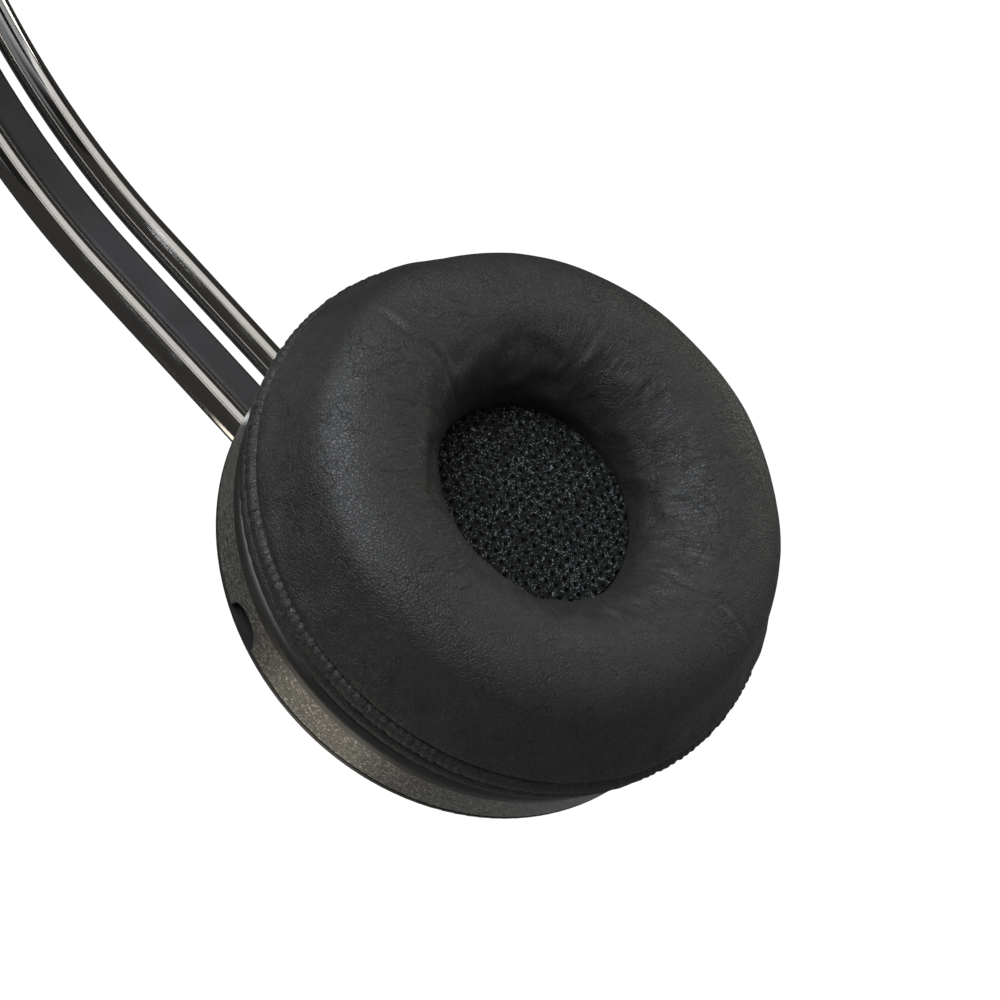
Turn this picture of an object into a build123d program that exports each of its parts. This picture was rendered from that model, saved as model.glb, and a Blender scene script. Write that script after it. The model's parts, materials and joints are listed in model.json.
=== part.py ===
"""An on-ear office headset: a twin-rod headband, two cushioned ear cups and a microphone boom.

Millimetres. +Z is up, -Y is the wearer's front and +X is the wearer's left. The origin is midway
between the two ears. A cup is designed in its own frame, "cup space": x to the front, y up, z outwards
from the head, with z 0 on the cushion's seam. The right cup is that design set in place, and the left
cup is its mirror image.
"""

import os
from math import asin, cos, degrees, radians, sin, sqrt

from build123d import *

# ---------------------------------------------------------------- ear cushion
EAR_GAP = 110.0  # between the crowns of the two cushions
CUSHION_SEAM_R = 33.0  # the welt, the widest line of the cushion
CUSHION_CROWN_R = 21.5  # the ring that touches the ear
CUSHION_CROWN_H = 11.5  # from the seam up to the crown
CUSHION_SHOULDER_R = 29.9
CUSHION_SHOULDER_H = 4.8
CUSHION_THROAT_R = 12.9  # the ear opening
CUSHION_THROAT_H = 5.0
CUSHION_SKIRT = 3.2  # from the seam back to the mounting plate
WELT_WIDTH = 2.8
SCREEN_DEPTH = -0.7  # back face of the fabric screen
SCREEN_THICK = 0.6
SOFT_GAP = 0.25  # round a soft disc
PLATE_THICK = 2.0
PLATE_INNER_R = 14.0

# ---------------------------------------------------------------- cup housing
CUP_R = 32.05
CUP_WALL = 1.9
NECK_R = 29.0  # the baffle's edge, seen as a dark groove behind the cushion
BAFFLE_THICK = 2.0
BEZEL_DEPTH = 1.9
BEZEL_LIP = 1.8  # how far the bezel reaches in behind the baffle
BEZEL_ROUND = 1.2
RING_DEPTH = 5.3
JOINT_GAP = 0.3  # the shadow line between ring and back cap
CAP_EDGE = 1.1
CAP_WALL = 1.6
DOME_RISE = 2.4
EDGE_STEP = 0.85  # how far the cap's spigot stands in from its edge
VENT_R = 2.9
VENT_ANGLE = 22.0  # above the front, seen from the side

# ---------------------------------------------------------------- speaker
SPEAKER_R = 15.1
SPEAKER_FLANGE = 1.6
MAGNET_R = 7.6
MAGNET_THICK = 2.3
GRILLE_THICK = 0.8
GRILLE_HOLE_R = 0.9
FIT = 0.1  # clearance round a part that is dropped into a seat

# ---------------------------------------------------------------- two-way joint
PIN_R = 1.0
PIN_CLEARANCE = 0.04
RECESS_R = 9.8
RECESS_FLOOR = 13.0
RECESS_WALL = 1.2
FLOOR_THICK = 1.1
TILT_AXIS_Z = 15.8
SWIVEL_AXIS_Z = 21.2
KNUCKLE_R = 2.5
EYE_HALF = 3.4
BARREL_HALF = 3.8
LUG_THICK = 2.3
LUG_GAP = 0.25

# ---------------------------------------------------------------- headband rods and carrier
ROD_R = 1.95
ROD_SPACING = 10.1
ROD_Z = 24.6  # rod centres, in cup space
STRIP_WIDTH = 4.5
STRIP_THICK = 1.6
STRIP_OFFSET = 1.6  # how far the strip's middle lies outside the rods' centres
SHOULDER_Z = 57.0  # where the rods start to bend
SHOULDER_ARC = 72.0
TOP_ARC = 105.0
ROD_END = -27.5
CARRIER_HALF_W = 9.8
CARRIER_HALF_H = 10.0
CARRIER_CORNER = 7.0
CARRIER_INNER_WALL = 1.2
CARRIER_DEPTH = 7.2
SLIDE_CLEARANCE = 0.08
COVER_THICK = 1.8
BAR_HALF_W = 8.6
BAR_HEIGHT = 5.0
BAR_INNER_WALL = 0.9  # between a rod's channel and the cup
BAR_OUTER_WALL = 1.75
BAR_EDGE = 2.8
BAR_GRIP = 3.0  # how far a rod stands in its end bar

# ---------------------------------------------------------------- crown
FERRULE_ANGLE = 2.6  # each end cap's share of the top arc
FRAME_HALF_W = 12.0
FRAME_UNDER = 3.8  # below the rod centres
FRAME_OVER = 0.6
COVER_HALF_W = 13.0
COVER_RISE = 5.2
COVER_SIDE = 2.4  # the upright part of its sides
COVER_CORNER = 1.5
CROWN_SCREW_Y = 9.4
CROWN_SCREW_INSET = 5.8  # degrees in from the crown's ends
PAD_HALF_W = 14.0
PAD_THICK = 9.4

# ---------------------------------------------------------------- boom
HUB_X, HUB_Y = 18.5, -12.0
HUB_R = 8.6
HUB_THICK = 4.85
TURRET_R = 9.3
TURRET_TOP = 18.4
TURRET_BOTTOM = 15.0
HUB_GAP = 0.15
AXLE_R = 2.95
BOOM_R = 1.9
BOOM_STRAIGHT = 40.0
BOOM_REACH = 84.0
BOOM_INSET = 10.0  # how far the tip bends in towards the face
BOOM_BEND_R = 110.0
MIC_LENGTH, MIC_WIDTH, MIC_DEPTH = 17.0, 9.0, 7.6
MUTE_R = 5.0
MUTE_TRAVEL = 0.7

# ---------------------------------------------------------------- screws, board and jack
SCREW_R = 0.95
SCREW_HEAD_R = 2.0
SCREW_HEAD = 1.2
SMALL_SCREW_R = 0.7
SMALL_HEAD_R = 1.15
BOSS_R = 2.4
BOSS_PCD_R = 24.5
BOSS_ANGLES = (40.0, 150.0, 290.0)
JACK_BORE_R = 1.8
JACK_R = 2.3
JACK_LENGTH = 13.0
JACK_PROUD = 0.3
BOARD_HEIGHT = 12.0
BOARD_THICK = 1.0
BOARD_GAP = 1.2  # between the board and the speaker, and the board and the bezel

# ---------------------------------------------------------------- worked out from the above
SEAM_X = EAR_GAP / 2 + CUSHION_CROWN_H
PLATE_Z = CUSHION_SKIRT
BAFFLE_Z = PLATE_Z + PLATE_THICK
BEZEL_Z = BAFFLE_Z + BAFFLE_THICK
RING_Z = BEZEL_Z + BEZEL_DEPTH
SPIGOT_Z = RING_Z + RING_DEPTH
CAP_Z = SPIGOT_Z + JOINT_GAP
CAP_EDGE_Z = CAP_Z + CAP_EDGE
DOME_TOP_Z = CAP_EDGE_Z + DOME_RISE
SPEAKER_Z = BAFFLE_Z + GRILLE_THICK
JACK_Z = RING_Z + RING_DEPTH / 2
ROD_X = SEAM_X + ROD_Z
CARRIER_Z = ROD_Z - ROD_R - CARRIER_INNER_WALL
CARRIER_TOP_Z = CARRIER_Z + CARRIER_DEPTH
HUB_Z = TURRET_TOP + HUB_GAP
HUB_TOP_Z = HUB_Z + HUB_THICK
ARCH_INSET = ROD_X - SHOULDER_ARC  # the shoulder arc's centre, from the middle
ARCH_Z = SHOULDER_Z - sqrt((TOP_ARC - SHOULDER_ARC) ** 2 - ARCH_INSET**2)
ARCH_ANGLE = degrees(asin(ARCH_INSET / (TOP_ARC - SHOULDER_ARC)))  # where the top arc ends
CROWN_HALF_ANGLE = ARCH_ANGLE - FERRULE_ANGLE
BEZEL_INNER_R = NECK_R - BEZEL_LIP
BOARD_NEAR = SPEAKER_R + BOARD_GAP
BOARD_FAR = sqrt(BEZEL_INNER_R**2 - (BOARD_HEIGHT / 2) ** 2) - BOARD_GAP

CUP_SPACE = Plane(origin=(-SEAM_X, 0, 0), x_dir=(0, -1, 0), z_dir=(-1, 0, 0))


# ---------------------------------------------------------------- helpers
def ring(outer, inner, low, high):
    """A flat ring, or a disc where inner is 0, between two heights on the cup's axis."""
    solid = Pos(0, 0, low) * Cylinder(outer, high - low, align=(Align.CENTER, Align.CENTER, Align.MIN))
    if inner > 0:
        solid -= Pos(0, 0, low) * Cylinder(inner, high - low, align=(Align.CENTER, Align.CENTER, Align.MIN))
    return solid


def block(x0, x1, y0, y1, z0, z1):
    """A box between two corners."""
    return Pos((x0 + x1) / 2, (y0 + y1) / 2, (z0 + z1) / 2) * Box(x1 - x0, y1 - y0, z1 - z0)


def rod_along(axis, radius, half, centre=(0, 0, 0)):
    """A cylinder of a given half length along x, y or z, about centre."""
    turn = {"x": Rot(0, 90, 0), "y": Rot(90, 0, 0), "z": Rot(0, 0, 0)}[axis]
    return Pos(*centre) * turn * Cylinder(radius, 2 * half)


def polar(radius, angle):
    """A point at an angle above the front, on a circle round the cup's axis."""
    return radius * cos(radians(angle)), radius * sin(radians(angle))


def turned(*edges):
    """The solid that a closed outline of (radius, z) edges sweeps round the cup's axis."""
    face = make_face(Plane.XZ * (Curve() + list(edges)))
    return revolve(face, Axis.Z, 360)


def save(name, shape):
    export_step(shape, os.path.join("parts", name + ".step"))


def save_pair(name, right):
    """Writes a cup-space part as the right one and as its mirror image, the left one."""
    placed = CUP_SPACE * right
    save(name + "_r", placed)
    save(name + "_l", mirror(placed, Plane.YZ))


# ---------------------------------------------------------------- cushion and what carries it
def ear_cushion():
    """The foam ring in its leatherette cover: throat, crown, shoulder, welt and skirt."""
    throat = (CUSHION_THROAT_R, -CUSHION_THROAT_H)
    foot = (CUSHION_THROAT_R + SOFT_GAP, PLATE_Z)
    crown = (CUSHION_CROWN_R, -CUSHION_CROWN_H)
    shoulder = (CUSHION_SHOULDER_R, -CUSHION_SHOULDER_H)
    seam = (CUSHION_SEAM_R, 0)
    welt = (CUSHION_SEAM_R, WELT_WIDTH)
    hem = (CUSHION_SEAM_R - 0.6, PLATE_Z)
    round_in, round_out = 0.75, 0.72  # where the roll's curve passes, as a share of its box
    inner = (
        throat[0] + (crown[0] - throat[0]) * (1 - round_in),
        throat[1] + (crown[1] - throat[1]) * round_in,
    )
    outer = (
        crown[0] + (shoulder[0] - crown[0]) * round_out,
        shoulder[1] + (crown[1] - shoulder[1]) * round_out,
    )
    return turned(
        Line(foot, throat),
        ThreePointArc(throat, inner, crown),
        ThreePointArc(crown, outer, shoulder),
        Line(shoulder, seam),
        Line(seam, welt),
        Line(welt, hem),
        Line(hem, foot),
    )


def mesh_screen():
    """The knitted screen stretched over the bottom of the ear opening."""
    return ring(CUSHION_THROAT_R - SOFT_GAP, 0, SCREEN_DEPTH - SCREEN_THICK, SCREEN_DEPTH)


def acoustic_foam():
    """Open foam between the screen and the speaker's grille."""
    return ring(CUSHION_THROAT_R - SOFT_GAP, 0, SCREEN_DEPTH, BAFFLE_Z)


def hook_angles():
    """The cushion's three hooks stand between the housing's three screws."""
    return [angle + 60 for angle in BOSS_ANGLES]


def hook(grow):
    """One hook, or its slot where grow is a clearance: a tab through the baffle."""
    long, thick = 3.5 + grow, 0.7 + grow
    radius = NECK_R - 4.5
    return block(radius - thick, radius + thick, -long, long, PLATE_Z + PLATE_THICK, BEZEL_Z + grow)


def cushion_plate():
    """The plastic ring that the cushion's skirt is stretched over, with its hooks."""
    plate = ring(CUSHION_SEAM_R - 2.0, PLATE_INNER_R, PLATE_Z, BAFFLE_Z)
    for angle in hook_angles():
        plate += Rot(0, 0, angle) * hook(0)
    return plate


# ---------------------------------------------------------------- housing
def grille_holes():
    """The grille's holes: one in the middle and three rings of them."""
    pitch = 3.4
    spots = [(0, 0)]
    for n in range(1, 4):
        spots += [polar(n * pitch, 360 / (6 * n) * i) for i in range(6 * n)]
    return [Pos(x, y, BAFFLE_Z) * Cylinder(GRILLE_HOLE_R, 4 * GRILLE_THICK) for x, y in spots]


def baffle():
    """The front plate that the speaker, the cushion and the screws are mounted on."""
    plate = ring(NECK_R, 0, BAFFLE_Z, BEZEL_Z)
    plate -= ring(SPEAKER_R + FIT, 0, SPEAKER_Z, BEZEL_Z)
    plate -= grille_holes()
    for angle in hook_angles():
        plate -= Rot(0, 0, angle) * hook(FIT)
    for angle in BOSS_ANGLES:
        spot = Pos(*polar(BOSS_PCD_R, angle), 0)
        plate -= spot * ring(SCREW_HEAD_R + FIT, 0, BAFFLE_Z, BAFFLE_Z + SCREW_HEAD)
        plate -= spot * ring(SCREW_R + PIN_CLEARANCE, 0, BAFFLE_Z, BEZEL_Z)
    return plate


def cup_screws():
    """Three screws, in from the baffle and into the back cap's bosses."""
    end = DOME_TOP_Z - 5.5
    one = ring(SCREW_HEAD_R, 0, BAFFLE_Z, BAFFLE_Z + SCREW_HEAD) + ring(SCREW_R, 0, BAFFLE_Z, end)
    one -= block(-1.4, 1.4, -0.2, 0.2, BAFFLE_Z, BAFFLE_Z + 0.5)
    return Compound([Pos(*polar(BOSS_PCD_R, angle), 0) * one for angle in BOSS_ANGLES])


def cup_bezel():
    """The smooth front rim of the housing."""
    rim = ring(CUP_R, BEZEL_INNER_R, BEZEL_Z, RING_Z)
    front = rim.edges().filter_by(GeomType.CIRCLE).group_by(Axis.Z)[0]
    return fillet(front.sort_by(SortBy.RADIUS)[-1], BEZEL_ROUND)


def vent():
    """A round cutter through the housing's wall, centred on the joint with the back cap."""
    through = 2 * CUP_WALL + 2
    hole = rod_along("x", VENT_R, through / 2, (CUP_R - CUP_WALL / 2, 0, SPIGOT_Z))
    return Rot(0, 0, VENT_ANGLE) * hole


def jack_hole():
    """Where the jack's nose passes through the wall, straight down."""
    return rod_along("y", JACK_R + FIT / 2, CUP_WALL, (0, -CUP_R + CUP_WALL / 2, JACK_Z))


def cup_ring(with_jack):
    """The housing's side wall, with its vent notch."""
    wall = ring(CUP_R, CUP_R - CUP_WALL, RING_Z, SPIGOT_Z) - vent()
    return wall - jack_hole() if with_jack else wall


def dome_outline():
    """The back cap's outline: spigot, edge, dome, recess wall and floor."""
    edge_r, corner = CUP_R, 0.7
    spigot_r = CUP_R - EDGE_STEP
    rim = (RECESS_R + 0.7, DOME_TOP_Z)
    mid = (RECESS_R + CUP_R) / 2
    outer_mid = (mid, CAP_EDGE_Z + DOME_RISE * 0.74)
    inside = (RECESS_R + RECESS_WALL, DOME_TOP_Z - CAP_WALL)
    inner_mid = (mid, outer_mid[1] - CAP_WALL)
    inner_end = (CUP_R - 2.4, SPIGOT_Z)
    return [
        Line((spigot_r, SPIGOT_Z), (spigot_r, CAP_Z)),
        Line((spigot_r, CAP_Z), (edge_r, CAP_Z)),
        Line((edge_r, CAP_Z), (edge_r, CAP_EDGE_Z - corner)),
        ThreePointArc(
            (edge_r, CAP_EDGE_Z - corner),
            (edge_r - corner * 0.3, CAP_EDGE_Z - corner * 0.3),
            (edge_r - corner, CAP_EDGE_Z),
        ),
        ThreePointArc((edge_r - corner, CAP_EDGE_Z), outer_mid, rim),
        ThreePointArc(rim, (RECESS_R + 0.2, DOME_TOP_Z - 0.2), (RECESS_R, DOME_TOP_Z - 0.7)),
        Line((RECESS_R, DOME_TOP_Z - 0.7), (RECESS_R, RECESS_FLOOR)),
        Line((RECESS_R, RECESS_FLOOR), (0, RECESS_FLOOR)),
        Line((0, RECESS_FLOOR), (0, RECESS_FLOOR - FLOOR_THICK)),
        Line((0, RECESS_FLOOR - FLOOR_THICK), (inside[0], RECESS_FLOOR - FLOOR_THICK)),
        Line((inside[0], RECESS_FLOOR - FLOOR_THICK), inside),
        ThreePointArc(inside, inner_mid, inner_end),
        Line(inner_end, (spigot_r, SPIGOT_Z)),
    ]


def tilt_lugs():
    """The two ears in the recess that hold the tilt pin."""
    near, far = EYE_HALF + LUG_GAP, EYE_HALF + LUG_GAP + LUG_THICK
    half = KNUCKLE_R
    both = []
    for x0, x1 in ((-far, -near), (near, far)):
        ear = block(x0, x1, -half, half, RECESS_FLOOR, TILT_AXIS_Z)
        ear += rod_along("x", half, LUG_THICK / 2, ((x0 + x1) / 2, 0, TILT_AXIS_Z))
        both.append(ear)
    return both


def back_cap(with_turret):
    """The domed outer cover, with the joint's recess and the screw bosses."""
    cap = turned(*dome_outline())
    for ear in tilt_lugs():
        cap += ear
    cap -= rod_along("x", PIN_R + PIN_CLEARANCE, RECESS_R, (0, 0, TILT_AXIS_Z)) & ring(
        RECESS_R - 0.5, 0, RECESS_FLOOR, DOME_TOP_Z
    )
    for angle in BOSS_ANGLES:
        spot = Pos(*polar(BOSS_PCD_R, angle), 0)
        cap += spot * ring(BOSS_R, 0, BEZEL_Z, CAP_EDGE_Z)
    for angle in BOSS_ANGLES:
        spot = Pos(*polar(BOSS_PCD_R, angle), 0)
        cap -= spot * ring(SCREW_R + PIN_CLEARANCE, 0, BEZEL_Z, DOME_TOP_Z - 5.0)
    if with_turret:
        cap += Pos(HUB_X, HUB_Y, 0) * ring(TURRET_R, 0, TURRET_BOTTOM, TURRET_TOP)
        cap -= Pos(HUB_X, HUB_Y, 0) * ring(AXLE_R + PIN_CLEARANCE, 0, TURRET_BOTTOM, TURRET_TOP)
    return cap


def tilt_pin():
    return rod_along("x", PIN_R, EYE_HALF + LUG_GAP + LUG_THICK + 0.2, (0, 0, TILT_AXIS_Z))


# ---------------------------------------------------------------- speaker and electronics
def speaker_frame():
    """The driver's basket: a flange in the baffle's seat and a dish that holds the magnet."""
    low, high = SPEAKER_Z, SPEAKER_Z + SPEAKER_FLANGE
    back = RECESS_FLOOR - FLOOR_THICK - MAGNET_THICK - 0.2
    wall = 0.9
    return turned(
        Line((SPEAKER_R, low), (SPEAKER_R, high)),
        Line((SPEAKER_R, high), (MAGNET_R + 1.5, back)),
        Line((MAGNET_R + 1.5, back), (3.0, back)),
        Line((3.0, back), (3.0, back - wall)),
        Line((3.0, back - wall), (MAGNET_R + 1.0, back - wall)),
        Line((MAGNET_R + 1.0, back - wall), (SPEAKER_R - 1.6, high - wall)),
        Line((SPEAKER_R - 1.6, high - wall), (SPEAKER_R - 1.6, low)),
        Line((SPEAKER_R - 1.6, low), (SPEAKER_R, low)),
    )


def speaker_cone():
    """The thin diaphragm: a shallow dome and a rolled edge."""
    low, thick = SPEAKER_Z + 0.1, 0.25
    line = [(0, low + 1.2), (4.5, low + 0.9), (7.5, low), (10.5, low + 0.6), (SPEAKER_R - 1.7, low + 0.1)]
    upper = [(r, z + thick) for r, z in reversed(line)]
    return turned(*Polyline(*line, *upper, close=True).edges())


def speaker_magnet():
    top = RECESS_FLOOR - FLOOR_THICK - 0.2
    return ring(MAGNET_R, 0, top - MAGNET_THICK, top)


def circuit_board():
    """The small board on the back of the baffle where the leads meet."""
    half, top = BOARD_HEIGHT / 2, BEZEL_Z + BOARD_THICK
    middle = -(BOARD_NEAR + BOARD_FAR) / 2
    board = block(-BOARD_FAR, -BOARD_NEAR, -half, half, BEZEL_Z, top)
    for y, width, height in ((-4.0, 3.0, 2.4), (0.2, 4.2, 3.8), (4.2, 2.2, 2.2)):
        board += Pos(middle, y, top + 0.5) * Box(width, height, 1.0)
    return board


def jack_socket():
    """The barrel that the headset's lead plugs into, straight up from below."""
    mouth = -(CUP_R + JACK_PROUD)
    middle = mouth + JACK_LENGTH / 2 + 0.75
    barrel = rod_along("y", JACK_R, JACK_LENGTH / 2 + 0.75, (0, middle, JACK_Z))
    barrel -= rod_along("y", JACK_BORE_R, JACK_LENGTH / 2, (0, mouth + JACK_LENGTH / 2, JACK_Z))
    return barrel


# ---------------------------------------------------------------- knuckle and carrier
def knuckle():
    """The small cross-piece: its eye tilts on the cup's pin, its barrel swivels on the carrier's pin."""
    body = rod_along("x", KNUCKLE_R, EYE_HALF, (0, 0, TILT_AXIS_Z))
    body += rod_along("y", KNUCKLE_R - 0.1, BARREL_HALF, (0, 0, SWIVEL_AXIS_Z))
    body += block(-2.0, 2.0, -2.2, 2.2, TILT_AXIS_Z, SWIVEL_AXIS_Z)
    body -= rod_along("x", PIN_R + PIN_CLEARANCE, EYE_HALF, (0, 0, TILT_AXIS_Z))
    body -= rod_along("y", PIN_R + PIN_CLEARANCE, BARREL_HALF, (0, 0, SWIVEL_AXIS_Z))
    return body


def swivel_half():
    """Half the height of the carrier's lugs."""
    return BARREL_HALF + LUG_GAP + LUG_THICK


def swivel_pin():
    return rod_along("y", PIN_R, swivel_half(), (0, 0, SWIVEL_AXIS_Z))


def carrier_outline(low, high):
    """The carrier's rounded outline between two heights."""
    outline = RectangleRounded(2 * CARRIER_HALF_W, 2 * CARRIER_HALF_H, CARRIER_CORNER)
    return Pos(0, 0, low) * extrude(outline, high - low)


def rod_offsets():
    return (-ROD_SPACING / 2, ROD_SPACING / 2)


def pad_window(grow):
    """The friction pads, or the windows that hold them where grow is a clearance."""
    half_w, half_h = 1.8 + grow, 3.4 + grow
    low, high = ROD_Z + ROD_R * 0.6, CARRIER_TOP_Z
    return [block(x - half_w, x + half_w, -half_h, half_h, low, high) for x in rod_offsets()]


def carrier_screw_spots():
    return [Pos(x, 0, 0) for x in (-8.4, 8.4)]


def strip_block(grow, length):
    """A straight length of the lead strip, or its slot where grow is a clearance."""
    half_w, half_t = STRIP_WIDTH / 2 + grow, STRIP_THICK / 2 + grow
    middle = ROD_Z + STRIP_OFFSET
    return block(-half_w, half_w, -length, length, middle - half_t, middle + half_t)


def carrier_body():
    """The block that slides on both rods and carries the cup."""
    body = carrier_outline(CARRIER_Z, CARRIER_TOP_Z)
    for side in (-1, 1):
        centre = side * (BARREL_HALF + LUG_GAP + LUG_THICK / 2)
        body += rod_along("y", KNUCKLE_R - 0.1, LUG_THICK / 2, (0, centre, SWIVEL_AXIS_Z))
    body -= rod_along("y", KNUCKLE_R + LUG_GAP, BARREL_HALF + LUG_GAP, (0, 0, SWIVEL_AXIS_Z))
    body -= rod_along("y", PIN_R + PIN_CLEARANCE, swivel_half(), (0, 0, SWIVEL_AXIS_Z))
    for x in rod_offsets():
        body -= rod_along("y", ROD_R + SLIDE_CLEARANCE, 2 * CARRIER_HALF_H, (x, 0, ROD_Z))
    for window in pad_window(FIT):
        body -= window
    for spot in carrier_screw_spots():
        body -= spot * ring(SMALL_HEAD_R + FIT, 0, CARRIER_Z, CARRIER_Z + SCREW_HEAD)
        body -= spot * ring(SMALL_SCREW_R + PIN_CLEARANCE, 0, CARRIER_Z, CARRIER_TOP_Z)
    return body - strip_block(SLIDE_CLEARANCE * 2, 2 * CARRIER_HALF_H)


def carrier_screws():
    end = CARRIER_TOP_Z + 1.0
    one = ring(SMALL_HEAD_R, 0, CARRIER_Z, CARRIER_Z + SCREW_HEAD) + ring(SMALL_SCREW_R, 0, CARRIER_Z, end)
    return Compound([spot * one for spot in carrier_screw_spots()])


def friction_pads():
    """Two nylon pads that bear on the rods, so that the cup stays at its height."""
    pads = []
    for window, x in zip(pad_window(0), rod_offsets()):
        pads.append(window - rod_along("y", ROD_R + PIN_CLEARANCE, CARRIER_HALF_H, (x, 0, ROD_Z)))
    return Compound(pads)


def carrier_cover():
    """The smooth outer plate of the carrier."""
    high = CARRIER_TOP_Z + COVER_THICK
    plate = carrier_outline(CARRIER_TOP_Z, high)
    plate = fillet(plate.edges().group_by(Axis.Z)[-1], 1.2)
    for spot in carrier_screw_spots():
        plate -= spot * ring(SMALL_SCREW_R + PIN_CLEARANCE, 0, CARRIER_TOP_Z, CARRIER_TOP_Z + 1.1)
    return plate


def rod_end_bar():
    """The cross-bar that ties the two rods' lower ends and stops the carrier."""
    bottom = ROD_END - (BAR_HEIGHT - BAR_GRIP)
    low, high = ROD_Z - ROD_R - BAR_INNER_WALL, ROD_Z + ROD_R + BAR_OUTER_WALL
    bar = block(-BAR_HALF_W, BAR_HALF_W, bottom, bottom + BAR_HEIGHT, low, high)
    bar = fillet(bar.edges().filter_by(Axis.Y), BAR_EDGE)
    bar = fillet(bar.edges().group_by(Axis.Y)[0], 1.0)
    for x in rod_offsets():
        top = bottom + BAR_HEIGHT
        bar -= rod_along("y", ROD_R + PIN_CLEARANCE, BAR_GRIP / 2, (x, top - BAR_GRIP / 2, ROD_Z))
    return bar - Pos(0, ROD_END + BAR_HEIGHT, 0) * strip_block(PIN_CLEARANCE, BAR_HEIGHT)


# ---------------------------------------------------------------- headband
def arch(start_z):
    """The rods' line: up one side, over in three tangent arcs and down the other side."""
    lean = radians(ARCH_ANGLE)
    join_x, join_z = TOP_ARC * sin(lean), ARCH_Z + TOP_ARC * cos(lean)
    middle = (lean + radians(90)) / 2
    bend_x = ARCH_INSET + SHOULDER_ARC * sin(middle)
    bend_z = SHOULDER_Z + SHOULDER_ARC * cos(middle)
    return Wire(
        [
            Line((-ROD_X, 0, start_z), (-ROD_X, 0, SHOULDER_Z)),
            ThreePointArc((-ROD_X, 0, SHOULDER_Z), (-bend_x, 0, bend_z), (-join_x, 0, join_z)),
            ThreePointArc((-join_x, 0, join_z), (0, 0, ARCH_Z + TOP_ARC), (join_x, 0, join_z)),
            ThreePointArc((join_x, 0, join_z), (bend_x, 0, bend_z), (ROD_X, 0, SHOULDER_Z)),
            Line((ROD_X, 0, SHOULDER_Z), (ROD_X, 0, start_z)),
        ]
    )


def along_arch(outline, start_z):
    """Sweeps an outline, drawn about the rod's centre, from one end of the arch to the other."""
    start = Plane(origin=(-ROD_X, 0, start_z), x_dir=(1, 0, 0), z_dir=(0, 0, 1))
    return sweep(start * outline, path=arch(start_z))


def band_rod():
    return along_arch(Circle(ROD_R), ROD_END)


def lead_strip():
    """The flat black strip between the rods, which hides the lead from one cup to the other."""
    outline = RectangleRounded(STRIP_THICK, STRIP_WIDTH, STRIP_THICK / 2 - 0.1)
    return along_arch(Pos(-STRIP_OFFSET, 0) * outline, ROD_END)


def around_crown(face, from_angle, to_angle):
    """Turns an outline of the (y, z) plane about the top arc's centre, between two angles."""
    axis = Axis((0, 0, ARCH_Z), (0, 1, 0))
    return revolve(face, axis, to_angle - from_angle).rotate(axis, from_angle)


def crown_plane():
    """The (y, z) plane at the top of the rods' arch: its y is distance above the rods' centre."""
    return Plane(origin=(0, 0, ARCH_Z + TOP_ARC), x_dir=(0, 1, 0), z_dir=(1, 0, 0))


def crown_face(*edges):
    """A face from edges given as (y, distance above the rods' centre)."""
    return make_face(crown_plane() * (Curve() + list(edges)))


def rod_cuts(angle):
    """The rods' channels through the crown."""
    face = crown_plane() * Circle(ROD_R + FIT / 2)
    cuts = [Pos(0, y, 0) * around_crown(face, -angle, angle) for y in rod_offsets()]
    half_w, half_t = STRIP_WIDTH / 2 + FIT / 2, STRIP_THICK / 2 + FIT / 2
    low, high = STRIP_OFFSET - half_t, STRIP_OFFSET + half_t
    slot = crown_face(
        Line((-half_w, low), (half_w, low)),
        Line((half_w, low), (half_w, high)),
        Line((half_w, high), (-half_w, high)),
        Line((-half_w, high), (-half_w, low)),
    )
    return cuts + [around_crown(slot, -angle, angle)]


def crown_frame():
    """The spine: it holds both rods and carries the pad."""
    w, under, over = FRAME_HALF_W, -FRAME_UNDER, FRAME_OVER
    face = crown_face(
        Line((-w, under), (w, under)),
        Line((w, under), (w, over)),
        Line((w, over), (-w, over)),
        Line((-w, over), (-w, under)),
    )
    frame = around_crown(face, -CROWN_HALF_ANGLE, CROWN_HALF_ANGLE)
    for cut in rod_cuts(CROWN_HALF_ANGLE + 1):
        frame -= cut
    for screw in crown_screw_shapes(PIN_CLEARANCE):
        frame -= screw
    return frame


def cover_face(half_w, foot, rise):
    """A crowned outline, highest in the middle and rounded at its sides."""
    shoulder = foot + COVER_SIDE
    face = crown_face(
        Line((-half_w, foot), (half_w, foot)),
        Line((half_w, foot), (half_w, shoulder)),
        ThreePointArc((half_w, shoulder), (0, rise), (-half_w, shoulder)),
        Line((-half_w, shoulder), (-half_w, foot)),
    )
    return fillet(face.vertices().sort_by(Axis.Z)[2:], COVER_CORNER)


def crown_cover():
    """The outer shell over the top of the head."""
    face = cover_face(COVER_HALF_W, FRAME_OVER, COVER_RISE)
    cover = around_crown(face, -CROWN_HALF_ANGLE, CROWN_HALF_ANGLE)
    for cut in rod_cuts(CROWN_HALF_ANGLE + 1):
        cover -= cut
    for screw in crown_screw_shapes(PIN_CLEARANCE):
        cover -= screw
    return cover


def crown_end_caps():
    """The two ferrules that finish the crown and grip the rods."""
    face = cover_face(COVER_HALF_W + 0.4, -FRAME_UNDER - 0.4, COVER_RISE + 0.5)
    caps = []
    for sign in (-1, 1):
        low, high = sorted((sign * CROWN_HALF_ANGLE, sign * (CROWN_HALF_ANGLE + FERRULE_ANGLE)))
        cap = around_crown(face, low, high)
        for cut in rod_cuts(CROWN_HALF_ANGLE + FERRULE_ANGLE + 1):
            cap -= cut
        caps.append(cap)
    return Compound(caps)


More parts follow.
